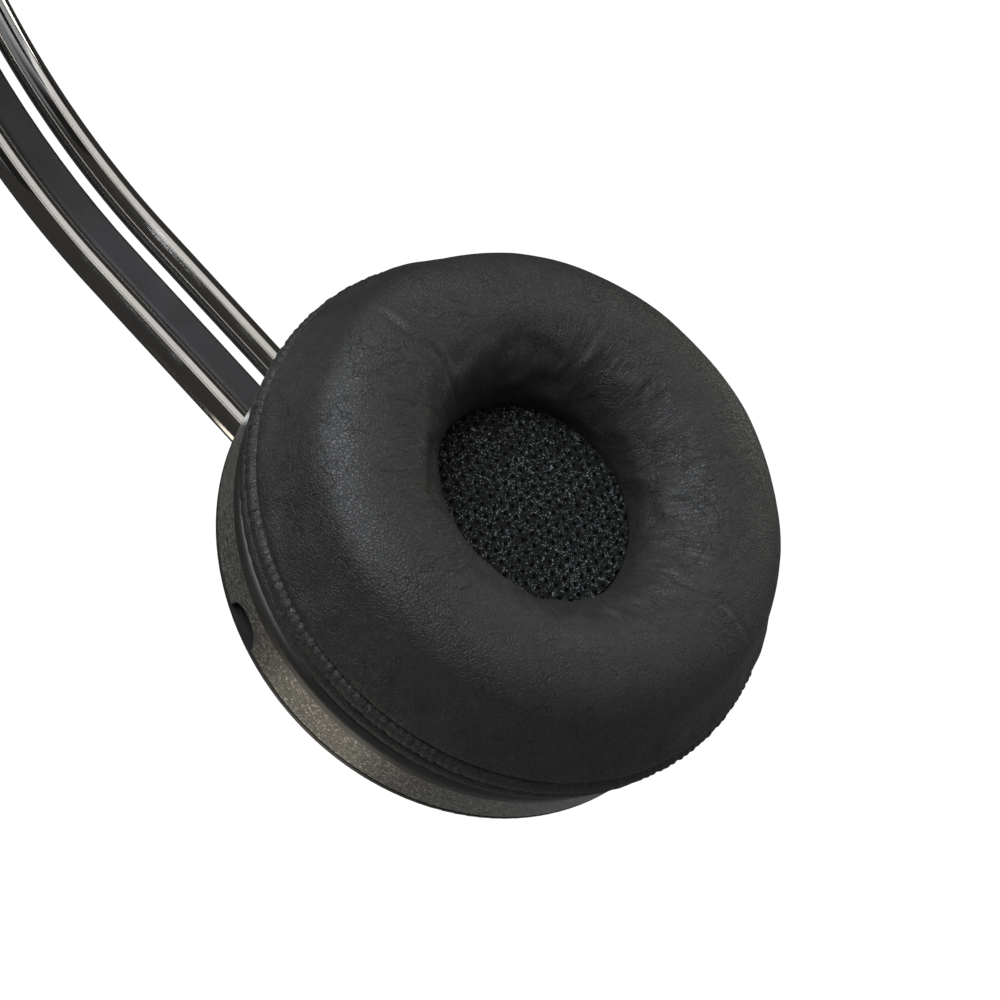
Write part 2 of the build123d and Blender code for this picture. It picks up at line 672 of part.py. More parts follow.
def headband_pad():
    """The padded strip under the crown."""
    w, top, low, corner = PAD_HALF_W, -FRAME_UNDER, -FRAME_UNDER - PAD_THICK, 4.0
    face = crown_face(
        Line((w, top), (-w, top)),
        Line((-w, top), (-w, low + corner)),
        ThreePointArc((-w, low + corner), (-w + corner * 0.3, low + corner * 0.3), (-w + corner, low)),
        Line((-w + corner, low), (w - corner, low)),
        ThreePointArc((w - corner, low), (w - corner * 0.3, low + corner * 0.3), (w, low + corner)),
        Line((w, low + corner), (w, top)),
    )
    return around_crown(face, -CROWN_HALF_ANGLE, CROWN_HALF_ANGLE)


def crown_screw_shapes(grow):
    """The crown's screws, or their holes where grow is a clearance: front and back of the rods."""
    under = TOP_ARC - FRAME_UNDER
    axis = Axis((0, 0, ARCH_Z), (0, 1, 0))
    head = ring(SMALL_HEAD_R + 0.25 + grow, 0, under, under + 1.2)
    one = Pos(0, 0, ARCH_Z) * (ring(SMALL_SCREW_R + 0.1 + grow, 0, under, TOP_ARC + 2.4 + grow) + head)
    out = CROWN_HALF_ANGLE - CROWN_SCREW_INSET
    spots = [(y, angle) for y in (-CROWN_SCREW_Y, CROWN_SCREW_Y) for angle in (-out, 0, out)]
    return [Pos(0, y, 0) * one.rotate(axis, angle) for y, angle in spots]


# ---------------------------------------------------------------- boom, in the mirrored cup space
def boom_line():
    """From inside the hub, up, then in towards the face."""
    z = HUB_Z + HUB_THICK / 2
    return FilletPolyline(
        (HUB_X, HUB_Y + 5.6, z),
        (HUB_X, HUB_Y + BOOM_STRAIGHT, z),
        (HUB_X, HUB_Y + BOOM_REACH, z - BOOM_INSET),
        radius=BOOM_BEND_R,
    )


def boom_arm():
    line = boom_line()
    start = Plane(origin=line @ 0, x_dir=(1, 0, 0), z_dir=line % 0)
    return sweep(start * Circle(BOOM_R), path=line)


def boom_hub():
    """The turning hub, with its hollow axle and the mute button's well."""
    z = HUB_TOP_Z
    hub = ring(HUB_R, 0, HUB_Z, z)
    hub = fillet(hub.edges().group_by(Axis.Z)[-1], 1.0)
    hub += ring(AXLE_R, 0, TURRET_BOTTOM - 1.1, HUB_Z)
    hub -= ring(1.2, 0, TURRET_BOTTOM - 1.1, z)
    hub -= ring(MUTE_R + FIT, 0, z - MUTE_TRAVEL - 1.6, z)
    hub = Pos(HUB_X, HUB_Y, 0) * hub
    socket = rod_along("y", BOOM_R + FIT / 2, 4.0, (HUB_X, HUB_Y + 5.6 + 4.0, HUB_Z + HUB_THICK / 2))
    return hub - socket


def boom_clip():
    """The spring washer that keeps the hub's axle in the turret."""
    return Pos(HUB_X, HUB_Y, 0) * ring(5.0, AXLE_R + 0.02, TURRET_BOTTOM - 0.95, TURRET_BOTTOM - 0.1)


def mute_button():
    low, high = HUB_TOP_Z - 1.6, HUB_TOP_Z + 0.7
    button = ring(MUTE_R, 0, low, high)
    return Pos(HUB_X, HUB_Y, 0) * fillet(button.edges().group_by(Axis.Z)[-1], 0.6)


def mic_space():
    """A plane at the arm's end: its z runs on along the arm, its y faces away from the mouth."""
    line = boom_line()
    return Plane(origin=line @ 1, x_dir=(1, 0, 0), z_dir=line % 1)


def mic_half(outer):
    """One half of the microphone's pill-shaped housing, split on the arm's own plane."""
    outline = RectangleRounded(MIC_WIDTH, MIC_LENGTH, MIC_WIDTH / 2 - 0.3)
    half = Rot(90, 0, 0) * extrude(outline, MIC_DEPTH / 2)
    half = fillet(half.edges().group_by(Axis.Y)[0], 2.2)
    half = Pos(0, 0, MIC_LENGTH / 2 - 3.0) * half
    half -= rod_along("z", BOOM_R + PIN_CLEARANCE, 1.6, (0, 0, -1.5))
    half -= rod_along("y", 3.0, 2.2, (0, 0, MIC_LENGTH - 7.2))
    return half if not outer else half.mirror(Plane.XZ)


def mic_front():
    """The half that faces the mouth, with its sound slots."""
    half = mic_half(False)
    for step in (-1.6, 0, 1.6):
        half -= Pos(0, -MIC_DEPTH / 2, MIC_LENGTH - 7.2 + step) * Box(4.2, 4.0, 0.7)
    return half


def mic_capsule():
    return rod_along("y", 2.95, 1.6, (0, 0, MIC_LENGTH - 7.2))


# ---------------------------------------------------------------- write the parts
def build():
    os.makedirs("parts", exist_ok=True)
    for y, name in ((-ROD_SPACING / 2, "band_rod_front"), (ROD_SPACING / 2, "band_rod_rear")):
        save(name, Pos(0, y, 0) * band_rod())
    save("lead_strip", lead_strip())
    save("crown_frame", crown_frame())
    save("crown_cover", crown_cover())
    save("crown_end_caps", crown_end_caps())
    save("crown_screws", Compound(crown_screw_shapes(0)))
    save("headband_pad", headband_pad())
    save_pair("rod_end_bar", rod_end_bar())
    for make in (carrier_body, carrier_cover, friction_pads, swivel_pin, carrier_screws, knuckle, tilt_pin):
        save_pair(make.__name__, make())
    for make in (ear_cushion, mesh_screen, acoustic_foam, cushion_plate, baffle, cup_screws, cup_bezel):
        save_pair(make.__name__, make())
    for make in (speaker_frame, speaker_cone, speaker_magnet, circuit_board):
        save_pair(make.__name__, make())
    save("cup_ring_r", CUP_SPACE * cup_ring(True))
    save("cup_ring_l", mirror(CUP_SPACE * cup_ring(False), Plane.YZ))
    save("back_cap_r", CUP_SPACE * back_cap(False))
    save("back_cap_l", mirror(CUP_SPACE * back_cap(True), Plane.YZ))
    save("jack_socket", CUP_SPACE * jack_socket())
    for make in (boom_arm, boom_hub, boom_clip, mute_button):
        save(make.__name__, mirror(CUP_SPACE * make(), Plane.YZ))
    mic = {"mic_front": mic_front(), "mic_back": mic_half(True), "mic_capsule": mic_capsule()}
    for name, piece in mic.items():
        save(name, mirror(CUP_SPACE * (mic_space() * piece), Plane.YZ))


build()
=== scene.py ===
# %% [markdown]
# # An on-ear office headset, dressed in Blender
# The hard parts come from the CAD model and keep their places. This lesson adds what CAD leaves plain: the
# stuffed leatherette cushions with their welts, the knitted screens in the ear openings, polished rods,
# and a finish for every surface.

# %% Load the frame
import json
from math import cos, pi, radians, sin

import bpy
import numpy as np
from mathutils import Matrix, Vector


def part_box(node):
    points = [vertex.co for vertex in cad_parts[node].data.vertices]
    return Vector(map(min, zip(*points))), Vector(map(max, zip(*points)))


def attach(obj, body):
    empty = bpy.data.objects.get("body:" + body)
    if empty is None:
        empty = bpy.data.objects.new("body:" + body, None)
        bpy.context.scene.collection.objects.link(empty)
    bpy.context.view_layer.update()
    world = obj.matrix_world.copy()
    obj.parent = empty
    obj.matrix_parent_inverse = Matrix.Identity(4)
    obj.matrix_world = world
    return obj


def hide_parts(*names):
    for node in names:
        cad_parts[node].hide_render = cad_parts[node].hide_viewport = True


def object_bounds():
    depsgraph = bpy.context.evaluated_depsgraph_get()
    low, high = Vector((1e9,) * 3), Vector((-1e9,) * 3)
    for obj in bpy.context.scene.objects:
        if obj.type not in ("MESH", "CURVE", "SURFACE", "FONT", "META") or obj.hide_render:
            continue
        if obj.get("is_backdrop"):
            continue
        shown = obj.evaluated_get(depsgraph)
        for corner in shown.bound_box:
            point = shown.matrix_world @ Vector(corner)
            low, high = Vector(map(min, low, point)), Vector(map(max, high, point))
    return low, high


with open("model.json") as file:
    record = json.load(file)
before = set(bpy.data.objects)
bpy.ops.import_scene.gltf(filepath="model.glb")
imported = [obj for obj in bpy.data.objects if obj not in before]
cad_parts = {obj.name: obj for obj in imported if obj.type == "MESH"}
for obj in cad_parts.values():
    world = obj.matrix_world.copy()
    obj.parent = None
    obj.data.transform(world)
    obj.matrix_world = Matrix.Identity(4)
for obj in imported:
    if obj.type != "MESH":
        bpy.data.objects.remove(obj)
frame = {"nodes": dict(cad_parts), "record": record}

scene = bpy.context.scene
nodes, record = frame["nodes"], frame["record"]
cad_low, cad_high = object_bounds()
print("CAD box in mm:", [round(1000 * v) for v in cad_high - cad_low])

# %% [markdown]
# ## Cup space
# Both cups are the same design, one the mirror image of the other, so every cup piece is worked out once,
# in "cup space": x towards the wearer's front, y up and z away from the head, with z 0 on the cushion's seam.
# One small function carries an array of such points to the right or the left ear.

# %% Measures shared by the cup pieces
MM = 0.001
CROWN_H = 11.5 * MM  # from the seam's plane to the top of the cushion
seam_x = -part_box("ear_cushion_r")[1].x + CROWN_H
print("seam planes at x = +/-", round(1000 * seam_x, 2), "mm")


def to_ear(points, side):
    """Cup-space points (n, 3) to the row frame: the right ear is at -X; the left one mirrors it."""
    x, y, z = np.moveaxis(np.asarray(points, float), -1, 0)
    outwards = seam_x + z
    return np.stack([outwards if side == "l" else -outwards, -x, y], -1)


# %% [markdown]
# ## Grids and rings
# A surface here is a function of two numbers: how far round, and how far along its outline. Worked out as whole
# arrays, a ring of thousands of points takes one line, and the faces follow from the grid's own numbering.

# %% Meshes from arrays
def put_mesh(name, points, faces, smooth=True):
    """A new object at the origin from (n, 3) points and (m, 4) faces."""
    mesh = bpy.data.meshes.new(name)
    points, faces = np.asarray(points, np.float32), np.asarray(faces, np.int32)
    count, corners = faces.shape
    mesh.vertices.add(len(points))
    mesh.vertices.foreach_set("co", points.ravel())
    mesh.loops.add(count * corners)
    mesh.loops.foreach_set("vertex_index", faces.ravel())
    mesh.polygons.add(count)
    mesh.polygons.foreach_set("loop_start", np.arange(count, dtype=np.int32) * corners)
    mesh.polygons.foreach_set("use_smooth", np.full(count, smooth))
    mesh.update(calc_edges=True)
    mesh.validate()
    obj = bpy.data.objects.new(name, mesh)
    scene.collection.objects.link(obj)
    return obj


def round_off(obj):
    """One level of subdivision, the same on screen and in the render."""
    smoother = obj.modifiers.new("smooth", "SUBSURF")
    smoother.levels = smoother.render_levels = 1


def grid_faces(rows, columns, wrap_rows, wrap_columns):
    """Quads of a rows x columns grid: each joins a point to the next in its row and in its column."""
    i = np.arange(rows if wrap_rows else rows - 1)
    j = np.arange(columns if wrap_columns else columns - 1)
    i, j = np.meshgrid(i, j, indexing="ij")
    i2, j2 = (i + 1) % rows, (j + 1) % columns
    corners = (i * columns + j, i2 * columns + j, i2 * columns + j2, i * columns + j2)
    return np.stack(corners, -1).reshape(-1, 4)


def closed_curve(knots, count):
    """A smooth closed curve through (r, z) knots: Catmull-Rom pieces, then equal steps along its length."""
    p = np.asarray(knots, float)
    a, b, c, d = np.roll(p, 1, 0), p, np.roll(p, -1, 0), np.roll(p, -2, 0)
    t = np.linspace(0, 1, 24, endpoint=False)[None, :, None]
    fine = 0.5 * (2 * b[:, None] + (c - a)[:, None] * t + (2 * a - 5 * b + 4 * c - d)[:, None] * t**2
                  + (3 * b - a - 3 * c + d)[:, None] * t**3)
    fine = fine.reshape(-1, 2)
    closed = np.vstack([fine, fine[:1]])
    length = np.concatenate([[0], np.cumsum(np.hypot(*np.diff(closed, axis=0).T))])
    want = np.linspace(0, length[-1], count, endpoint=False)
    return np.stack([np.interp(want, length, closed[:, k]) for k in (0, 1)], -1)


def turned(profile, angle):
    """Carries (r, z) pairs round the cup's axis: one row per angle, each point (r cos, r sin, z)."""
    r, z = profile[None, :, 0], profile[None, :, 1]
    angle = angle[:, None]
    return np.stack([r * np.cos(angle), r * np.sin(angle), z + 0 * angle], -1)


def full_turn(steps):
    return np.linspace(0, 2 * pi, steps, endpoint=False)


def hill(value, middle, width):
    """1 at the middle, falling to nothing a few widths away: e to minus the square of the distance in widths."""
    return np.exp(-(((value - middle) / width) ** 2))


def store(mesh, name, values):
    """Writes one number or one vector per vertex as an attribute that materials can read."""
    values = np.asarray(values, np.float32)
    kind, key = ("FLOAT_VECTOR", "vector") if values.ndim == 2 else ("FLOAT", "value")
    mesh.attributes.new(name, kind, "POINT").data.foreach_set(key, values.ravel())


def soft_noise(angle, waves, seed):
    """A smooth, repeatable wobble round a circle: a few cosines with seeded phases, between about -1 and 1."""
    rng = np.random.default_rng(seed)
    total = 0 * angle
    for wave in waves:
        total = total + rng.uniform(0.5, 1.0) * np.cos(wave * angle + rng.uniform(0, 2 * pi))
    return total / max(1.0, 0.75 * len(waves))


# %% [markdown]
# ## Pressure for the stuffed pieces
# A foam cushion under leatherette is a skin pushed outwards from inside and held at its seams. Blender's cloth
# solver does just that: the skin starts a little small, its seams are pinned, pressure swells it, and a little
# spare cloth puckers near the pins. It runs ten times larger than life, where the solver is steady, and a cap
# keeps every point near where it began.

# %% Swell a skin with the cloth solver
CLOTH_SCALE = 10.0
CLOTH_FRAMES = 20


def swell(points, faces, pinned, cap, spare):
    """Returns the points after the cloth run. pinned is true where a point is held, no point moves more than cap,
    and spare is the share of extra cloth."""
    skin = put_mesh("swelling_skin", points * CLOTH_SCALE, faces)
    group = skin.vertex_groups.new(name="seams")
    group.add(np.nonzero(pinned)[0].tolist(), 1.0, "REPLACE")
    cloth = skin.modifiers.new("cloth", "CLOTH")
    s = cloth.settings
    s.quality, s.mass, s.air_damping = 6, 0.3, 2.0
    s.tension_stiffness = s.compression_stiffness = 12.0
    s.shear_stiffness, s.bending_stiffness = 4.0, 0.35
    s.use_pressure, s.uniform_pressure_force = True, 4.0
    s.shrink_min = -spare
    s.vertex_group_mass = "seams"
    s.effector_weights.gravity = 0.0
    cloth.collision_settings.use_collision = False
    cloth.point_cache.frame_start, cloth.point_cache.frame_end = 1, CLOTH_FRAMES
    for step in range(1, CLOTH_FRAMES + 1):
        scene.frame_set(step)
    swollen = skin.evaluated_get(bpy.context.evaluated_depsgraph_get()).to_mesh()
    moved = np.empty(len(points) * 3, np.float32)
    swollen.vertices.foreach_get("co", moved)
    shift = moved.reshape(-1, 3) / CLOTH_SCALE - points
    bpy.data.objects.remove(skin, do_unlink=True)
    scene.frame_set(1)
    far = np.linalg.norm(shift, axis=1, keepdims=True)
    print("  cloth moved up to", round(1000 * float(far.max()), 2), "mm, kept to", round(1000 * cap, 2))
    return points + shift * (cap * np.tanh(far / cap) / np.maximum(far, 1e-9))


# %% [markdown]
# ## Building finishes
# Each finish is a small network of nodes. A few helpers keep that readable: one makes a node and plugs its inputs
# in, others wrap the nodes used most, and one starts a group, a network that many finishes can share.

# %% Node helpers
def add(tree, kind, inputs=None, **settings):
    """Makes a node. An input given as a socket is linked, and any other value is set."""
    node = tree.nodes.new("ShaderNode" + kind)
    for key, value in settings.items():
        setattr(node, key, value)
    for key, value in (inputs or {}).items():
        if isinstance(value, bpy.types.NodeSocket):
            tree.links.new(value, node.inputs[key])
        else:
            node.inputs[key].default_value = value
    return node


def calc(tree, operation, a, b=0.0):
    return add(tree, "Math", {0: a, 1: b}, operation=operation).outputs[0]


def times(tree, a, b):
    return calc(tree, "MULTIPLY", a, b)


def plus(tree, a, b):
    return calc(tree, "ADD", a, b)


def noise(tree, vector, scale, detail=2.0, roughness=0.5, distortion=0.0):
    """Cloudy noise round 0.5."""
    inputs = {"Vector": vector, "Scale": scale, "Detail": detail, "Roughness": roughness, "Distortion": distortion}
    return add(tree, "TexNoise", inputs).outputs[0]


def cells(tree, vector, scale):
    """Voronoi cells: their Distance from a cell's middle, and a random Color for each cell."""
    return add(tree, "TexVoronoi", {"Vector": vector, "Scale": scale}, feature="F1").outputs


def channels(tree, colour):
    """A colour's three channels, which serve as three random numbers for each cell."""
    return add(tree, "SeparateColor", {0: colour}).outputs


def spread(tree, value, low, high, to_low=0.0, to_high=1.0):
    """Maps low..high to to_low..to_high with soft ends, clamped."""
    inputs = {0: value, 1: low, 2: high, 3: to_low, 4: to_high}
    return add(tree, "MapRange", inputs, interpolation_type="SMOOTHSTEP").outputs[0]


def mix(tree, amount, a, b):
    """Mixes two colours; one given as numbers gets its alpha here."""
    a, b = (c if isinstance(c, bpy.types.NodeSocket) else (*c, 1) for c in (a, b))
    return add(tree, "Mix", {0: amount, 6: a, 7: b}, data_type="RGBA").outputs[2]


def start_group(name, inputs, outputs):
    """An empty shader group. inputs are (name, kind, value) and outputs are (name, kind)."""
    tree = bpy.data.node_groups.new(name, "ShaderNodeTree")
    for label, kind, value in inputs:
        socket = tree.interface.new_socket(label, in_out="INPUT", socket_type="NodeSocket" + kind)
        if value is not None:
            socket.default_value = value
    for label, kind in outputs:
        tree.interface.new_socket(label, in_out="OUTPUT", socket_type="NodeSocket" + kind)
    return tree, tree.nodes.new("NodeGroupInput").outputs, tree.nodes.new("NodeGroupOutput").inputs


def use_group(tree, group, inputs=None):
    node = tree.nodes.new("ShaderNodeGroup")
    node.node_tree = group
    for key, value in (inputs or {}).items():
        if isinstance(value, bpy.types.NodeSocket):
            tree.links.new(value, node.inputs[key])
        else:
            node.inputs[key].default_value = value
    return node.outputs


def start_finish(name, **shader):
    """A material with a Principled shader; named values go on the shader's own sockets."""
    material = bpy.data.materials.new(name)
    material.use_nodes = True
    tree = material.node_tree
    surface = tree.nodes["Principled BSDF"]
    for key, value in shader.items():
        surface.inputs[key.replace("_", " ")].default_value = value
    place = add(tree, "TexCoord").outputs["Object"]
    return material, tree, surface, place


def feed(tree, surface, **values):
    """Links sockets into the shader: Base_Color goes to its Base Color."""
    for key, value in values.items():
        tree.links.new(value, surface.inputs[key.replace("_", " ")])


def raise_surface(tree, surface, height, distance, strength=1.0, under=None):
    """Feeds a height into a Bump node and on into the shader's normal."""
    inputs = {"Height": height, "Distance": distance, "Strength": strength}
    if under is not None:
        inputs["Normal"] = under
    bump = add(tree, "Bump", inputs)
    tree.links.new(bump.outputs[0], surface.inputs["Normal"])
    return bump.outputs[0]


# %% [markdown]
# ## Grain, flake and moulding texture
# Five groups do most of the work. Leatherette is embossed with small irregular pebbles, so its grain is a
# Voronoi pattern whose cell walls sink. Lacquer with metal powder sparkles because each flake is tilted its own
# way. Moulded plastic carries the fine bite of a spark-eroded tool. Handled things pick up dull smudges and dust.

# %% Leatherette grain
PEBBLES = 2300.0  # cells per metre, as all pattern scales are


def warped(tree, vector, scale, reach):
    """The vector pushed about by a noise, so that a cell pattern loses its straight edges."""
    drift = add(tree, "TexNoise", {"Vector": vector, "Scale": scale, "Detail": 3.0}).outputs["Color"]
    push = add(tree, "VectorMath", {0: drift, 1: (reach, reach, reach)}, operation="MULTIPLY").outputs[0]
    return add(tree, "VectorMath", {0: vector, 1: push}, operation="ADD").outputs[0]


def cracks(tree, vector, scale, width):
    """1 inside the cells and 0 along their walls."""
    walls = add(tree, "TexVoronoi", {"Vector": vector, "Scale": scale}, feature="DISTANCE_TO_EDGE")
    return spread(tree, walls.outputs["Distance"], 0.0, width)


grain, gi, go = start_group(
    "leatherette_grain",
    [("Vector", "Vector", None)],
    [("Height", "Float"), ("Tone", "Float"), ("Roughness", "Float")],
)
pebble = cracks(grain, warped(grain, gi["Vector"], 900.0, 0.0011), PEBBLES, 0.22)
wrinkle = cracks(grain, warped(grain, gi["Vector"], 420.0, 0.0030), 520.0, 0.055)
smooth_skin = spread(grain, noise(grain, gi["Vector"], 260.0), 0.60, 0.44)  # patches without wrinkles
wrinkle = calc(grain, "MAXIMUM", wrinkle, smooth_skin)
large = noise(grain, gi["Vector"], 320.0, 4.0, 0.6)
fine = noise(grain, gi["Vector"], 6000.0, 3.0, 0.7)
height = plus(grain, times(grain, pebble, 0.55), times(grain, wrinkle, 0.8))
height = plus(grain, height, times(grain, large, 0.35))
grain.links.new(plus(grain, height, times(grain, fine, 0.35)), go["Height"])
tone = times(grain, plus(grain, times(grain, pebble, 0.5), 0.5), wrinkle)
grain.links.new(times(grain, tone, spread(grain, large, 0.25, 0.75, 0.6, 1.0)), go["Tone"])
grain.links.new(spread(grain, pebble, 0.0, 1.0, 0.12, -0.03), go["Roughness"])

# %% Metal flake in lacquer
FLAKES = 5200.0
flake, gi, go = start_group(
    "lacquer_flake",
    [("Vector", "Vector", None)],
    [("Sparkle", "Float"), ("Tone", "Float"), ("Height", "Float")],
)
chance = channels(flake, cells(flake, gi["Vector"], FLAKES)["Color"])
clouds = noise(flake, gi["Vector"], 1500.0, 5.0, 0.7)
flake.links.new(spread(flake, chance[0], 0.72, 0.98), go["Sparkle"])
flake.links.new(plus(flake, times(flake, chance[1], 0.6), times(flake, clouds, 0.6)), go["Tone"])
flake.links.new(plus(flake, chance[2], times(flake, clouds, 1.4)), go["Height"])

# %% Texture of a moulding tool
moulding, gi, go = start_group(
    "tool_texture",
    [("Vector", "Vector", None), ("Bite", "Float", 4200.0)],
    [("Height", "Float"), ("Tone", "Float")],
)
pits = noise(moulding, gi["Vector"], gi["Bite"], 4.0, 0.65)
flow = noise(moulding, gi["Vector"], 120.0, 3.0, distortion=1.0)
moulding.links.new(plus(moulding, pits, times(moulding, flow, 0.25)), go["Height"])
moulding.links.new(plus(moulding, times(moulding, pits, 0.5), times(moulding, flow, 0.5)), go["Tone"])

# %% Smudges and dust from handling
handling, gi, go = start_group(
    "handling",
    [("Vector", "Vector", None), ("Smudges", "Float", 70.0)],
    [("Smudge", "Float"), ("Dust", "Float")],
)
patches = noise(handling, gi["Vector"], gi["Smudges"], 5.0, 0.55, 0.8)
motes = cells(handling, gi["Vector"], 900.0)["Distance"]
sparse = noise(handling, gi["Vector"], 420.0)
handling.links.new(spread(handling, patches, 0.38, 0.7), go["Smudge"])
speck = times(handling, spread(handling, motes, 0.13, 0.05), spread(handling, sparse, 0.6, 0.7))
handling.links.new(speck, go["Dust"])

# %% Turned metal
turning, gi, go = start_group(
    "turned_metal", [("Vector", "Vector", None)], [("Height", "Float"), ("Tone", "Float")]
)
stretched = add(turning, "Mapping", {"Vector": gi["Vector"], "Scale": (9000.0, 9000.0, 300.0)}).outputs[0]
lines = noise(turning, stretched, 1.0, 3.0)
broad = noise(turning, gi["Vector"], 300.0)
turning.links.new(lines, go["Height"])
turning.links.new(plus(turning, times(turning, lines, 0.5), times(turning, broad, 0.5)), go["Tone"])
print("shared groups:", [g.name for g in bpy.data.node_groups])


# %% [markdown]
# ## Leatherette
# Black polyurethane on knit has a soft, slightly satin skin. It is stretched smooth on the crown, and gathers
# into fine creases that run in towards the ear opening, where the cover turns down. The cushion's mesh carries
# two attributes for this: "around", a seamless vector (cosine and sine of the angle, and the distance
# along the cover), and "fold", which says how much the cover gathers at each place.

# %% Leatherette finish
def leatherette(name, radial):
    """Grained hide; radial adds the gathers that the cushion's attributes describe."""
    material, tree, surface, place = start_finish(name, Specular_IOR_Level=0.5)
    hide = use_group(tree, grain, {"Vector": place})
    wear = use_group(tree, handling, {"Vector": place, "Smudges": 45.0})
    tone = mix(tree, hide["Tone"], (0.003, 0.003, 0.003), (0.0195, 0.0182, 0.0158))
    dusted = mix(tree, times(tree, wear["Dust"], 0.25), tone, (0.09, 0.088, 0.08))
    rough = plus(tree, 0.50, times(tree, wear["Smudge"], 0.06))
    feed(tree, surface, Base_Color=dusted, Roughness=plus(tree, rough, hide["Roughness"]))
    under = None
    if radial:
        along = add(tree, "Attribute", attribute_name="around").outputs["Vector"]
        fold = add(tree, "Attribute", attribute_name="fold").outputs["Fac"]
        thin = add(tree, "Mapping", {"Vector": along, "Scale": (42.0, 42.0, 10.0)}).outputs[0]
        crease = noise(tree, thin, 1.0, distortion=0.8)
        ridge = calc(tree, "ABSOLUTE", calc(tree, "SUBTRACT", crease, 0.5))
        creases = times(tree, spread(tree, ridge, 0.0, 0.06), fold)
        gathered = plus(tree, creases, times(tree, times(tree, crease, fold), 0.9))
        under = raise_surface(tree, surface, gathered, 0.00007, 0.6)
    raise_surface(tree, surface, hide["Height"], 0.00006, 1.0, under)
    return material


cushion_leather = leatherette("cushion_leatherette", True)
plain_leather = leatherette("plain_leatherette", False)

# %% [markdown]
# ## Ear cushion
# The cover is cut as a ring, sewn to a welt on the outside and turned down into the ear opening. Its outline
# climbs from the seam over a soft shoulder to the crown, then rolls down into the throat. Where the flat hide is
# sewn to the smaller circle it has spare length, so it ripples between the seam and the shoulder.

# %% Ear cushion: outline, ripples and cloth run
COVER_OUTLINE = np.array([
    (32.4, 0.45), (32.85, 0.05), (32.75, -0.7), (32.0, -2.0), (31.2, -3.6), (30.5, -5.4), (29.7, -7.4),
    (28.3, -9.4), (25.8, -10.95), (22.3, -11.5), (19.2, -11.1), (16.6, -9.7), (14.7, -7.7), (13.5, -5.4),
    (13.0, -3.2), (12.9, -1.2), (13.2, 1.2), (15.0, 2.5), (20.0, 2.75), (27.0, 2.75), (30.0, 2.4),
    (30.8, 1.2), (31.6, 0.65)]) * MM
STEPS_ROUND, STEPS_ALONG = 320, 72
COVER_SHRINK = 0.45 * MM  # how much smaller the skin starts than the foam that fills it
COVER_SPAN = 75.0  # mm, about the outline's length
# long creases where the cover has been pressed: angle, drift per mm of radius, inner end, outer end, depth
CREASES = (
    (81.0, 0.05, 14.5, 27.0, 0.34), (59.0, -0.9, 15.0, 23.0, 0.24), (246.0, 0.3, 14.5, 20.5, 0.24),
    (264.0, -0.2, 15.5, 27.5, 0.32), (150.0, 0.4, 16.0, 22.0, 0.12), (318.0, -0.4, 17.0, 24.0, 0.12))


def stuffed_outline():
    """The outline with its outward normals, and the cover swollen by the cloth run: (angles, outline, 3)."""
    outline = closed_curve(COVER_OUTLINE, STEPS_ALONG)
    step = np.roll(outline, -1, 0) - np.roll(outline, 1, 0)
    normal = np.stack([-step[:, 1], step[:, 0]], -1) / np.hypot(*step.T)[:, None]
    if ((outline - outline.mean(0)) * normal).sum() < 0:
        normal = -normal
    start = turned(outline - normal * COVER_SHRINK, full_turn(STEPS_ROUND))
    seam = (outline[:, 1] > -0.5 * MM) & (outline[:, 0] > 30 * MM)
    back = outline[:, 1] > 1.0 * MM
    pinned = np.broadcast_to(seam | back, (STEPS_ROUND, STEPS_ALONG)).ravel()
    swollen = swell(start.reshape(-1, 3), cover_faces, pinned, cap=0.5 * MM, spare=0.025)
    return outline, normal, swollen.reshape(STEPS_ROUND, STEPS_ALONG, 3)


def pressed_creases(angle, r, z):
    """Each crease is a narrow groove beside a low ridge, along a line that wanders with the radius."""
    total = 0 * (angle + z)
    for where, drift, start, end, depth in CREASES:
        wander = drift * (r - 20) + 0.9 * np.sin(0.75 * r + where)
        off = (np.mod(angle - radians(1) * (where + wander) + pi, 2 * pi) - pi) * r
        reach = 1 / (1 + np.exp(-(r - start) * 1.6)) / (1 + np.exp((r - end) * 1.2)) * (z < -5)
        total = total + depth * reach * (0.35 * hill(off, 0.7, 0.5) - hill(off, 0.0, 0.3))
    return total


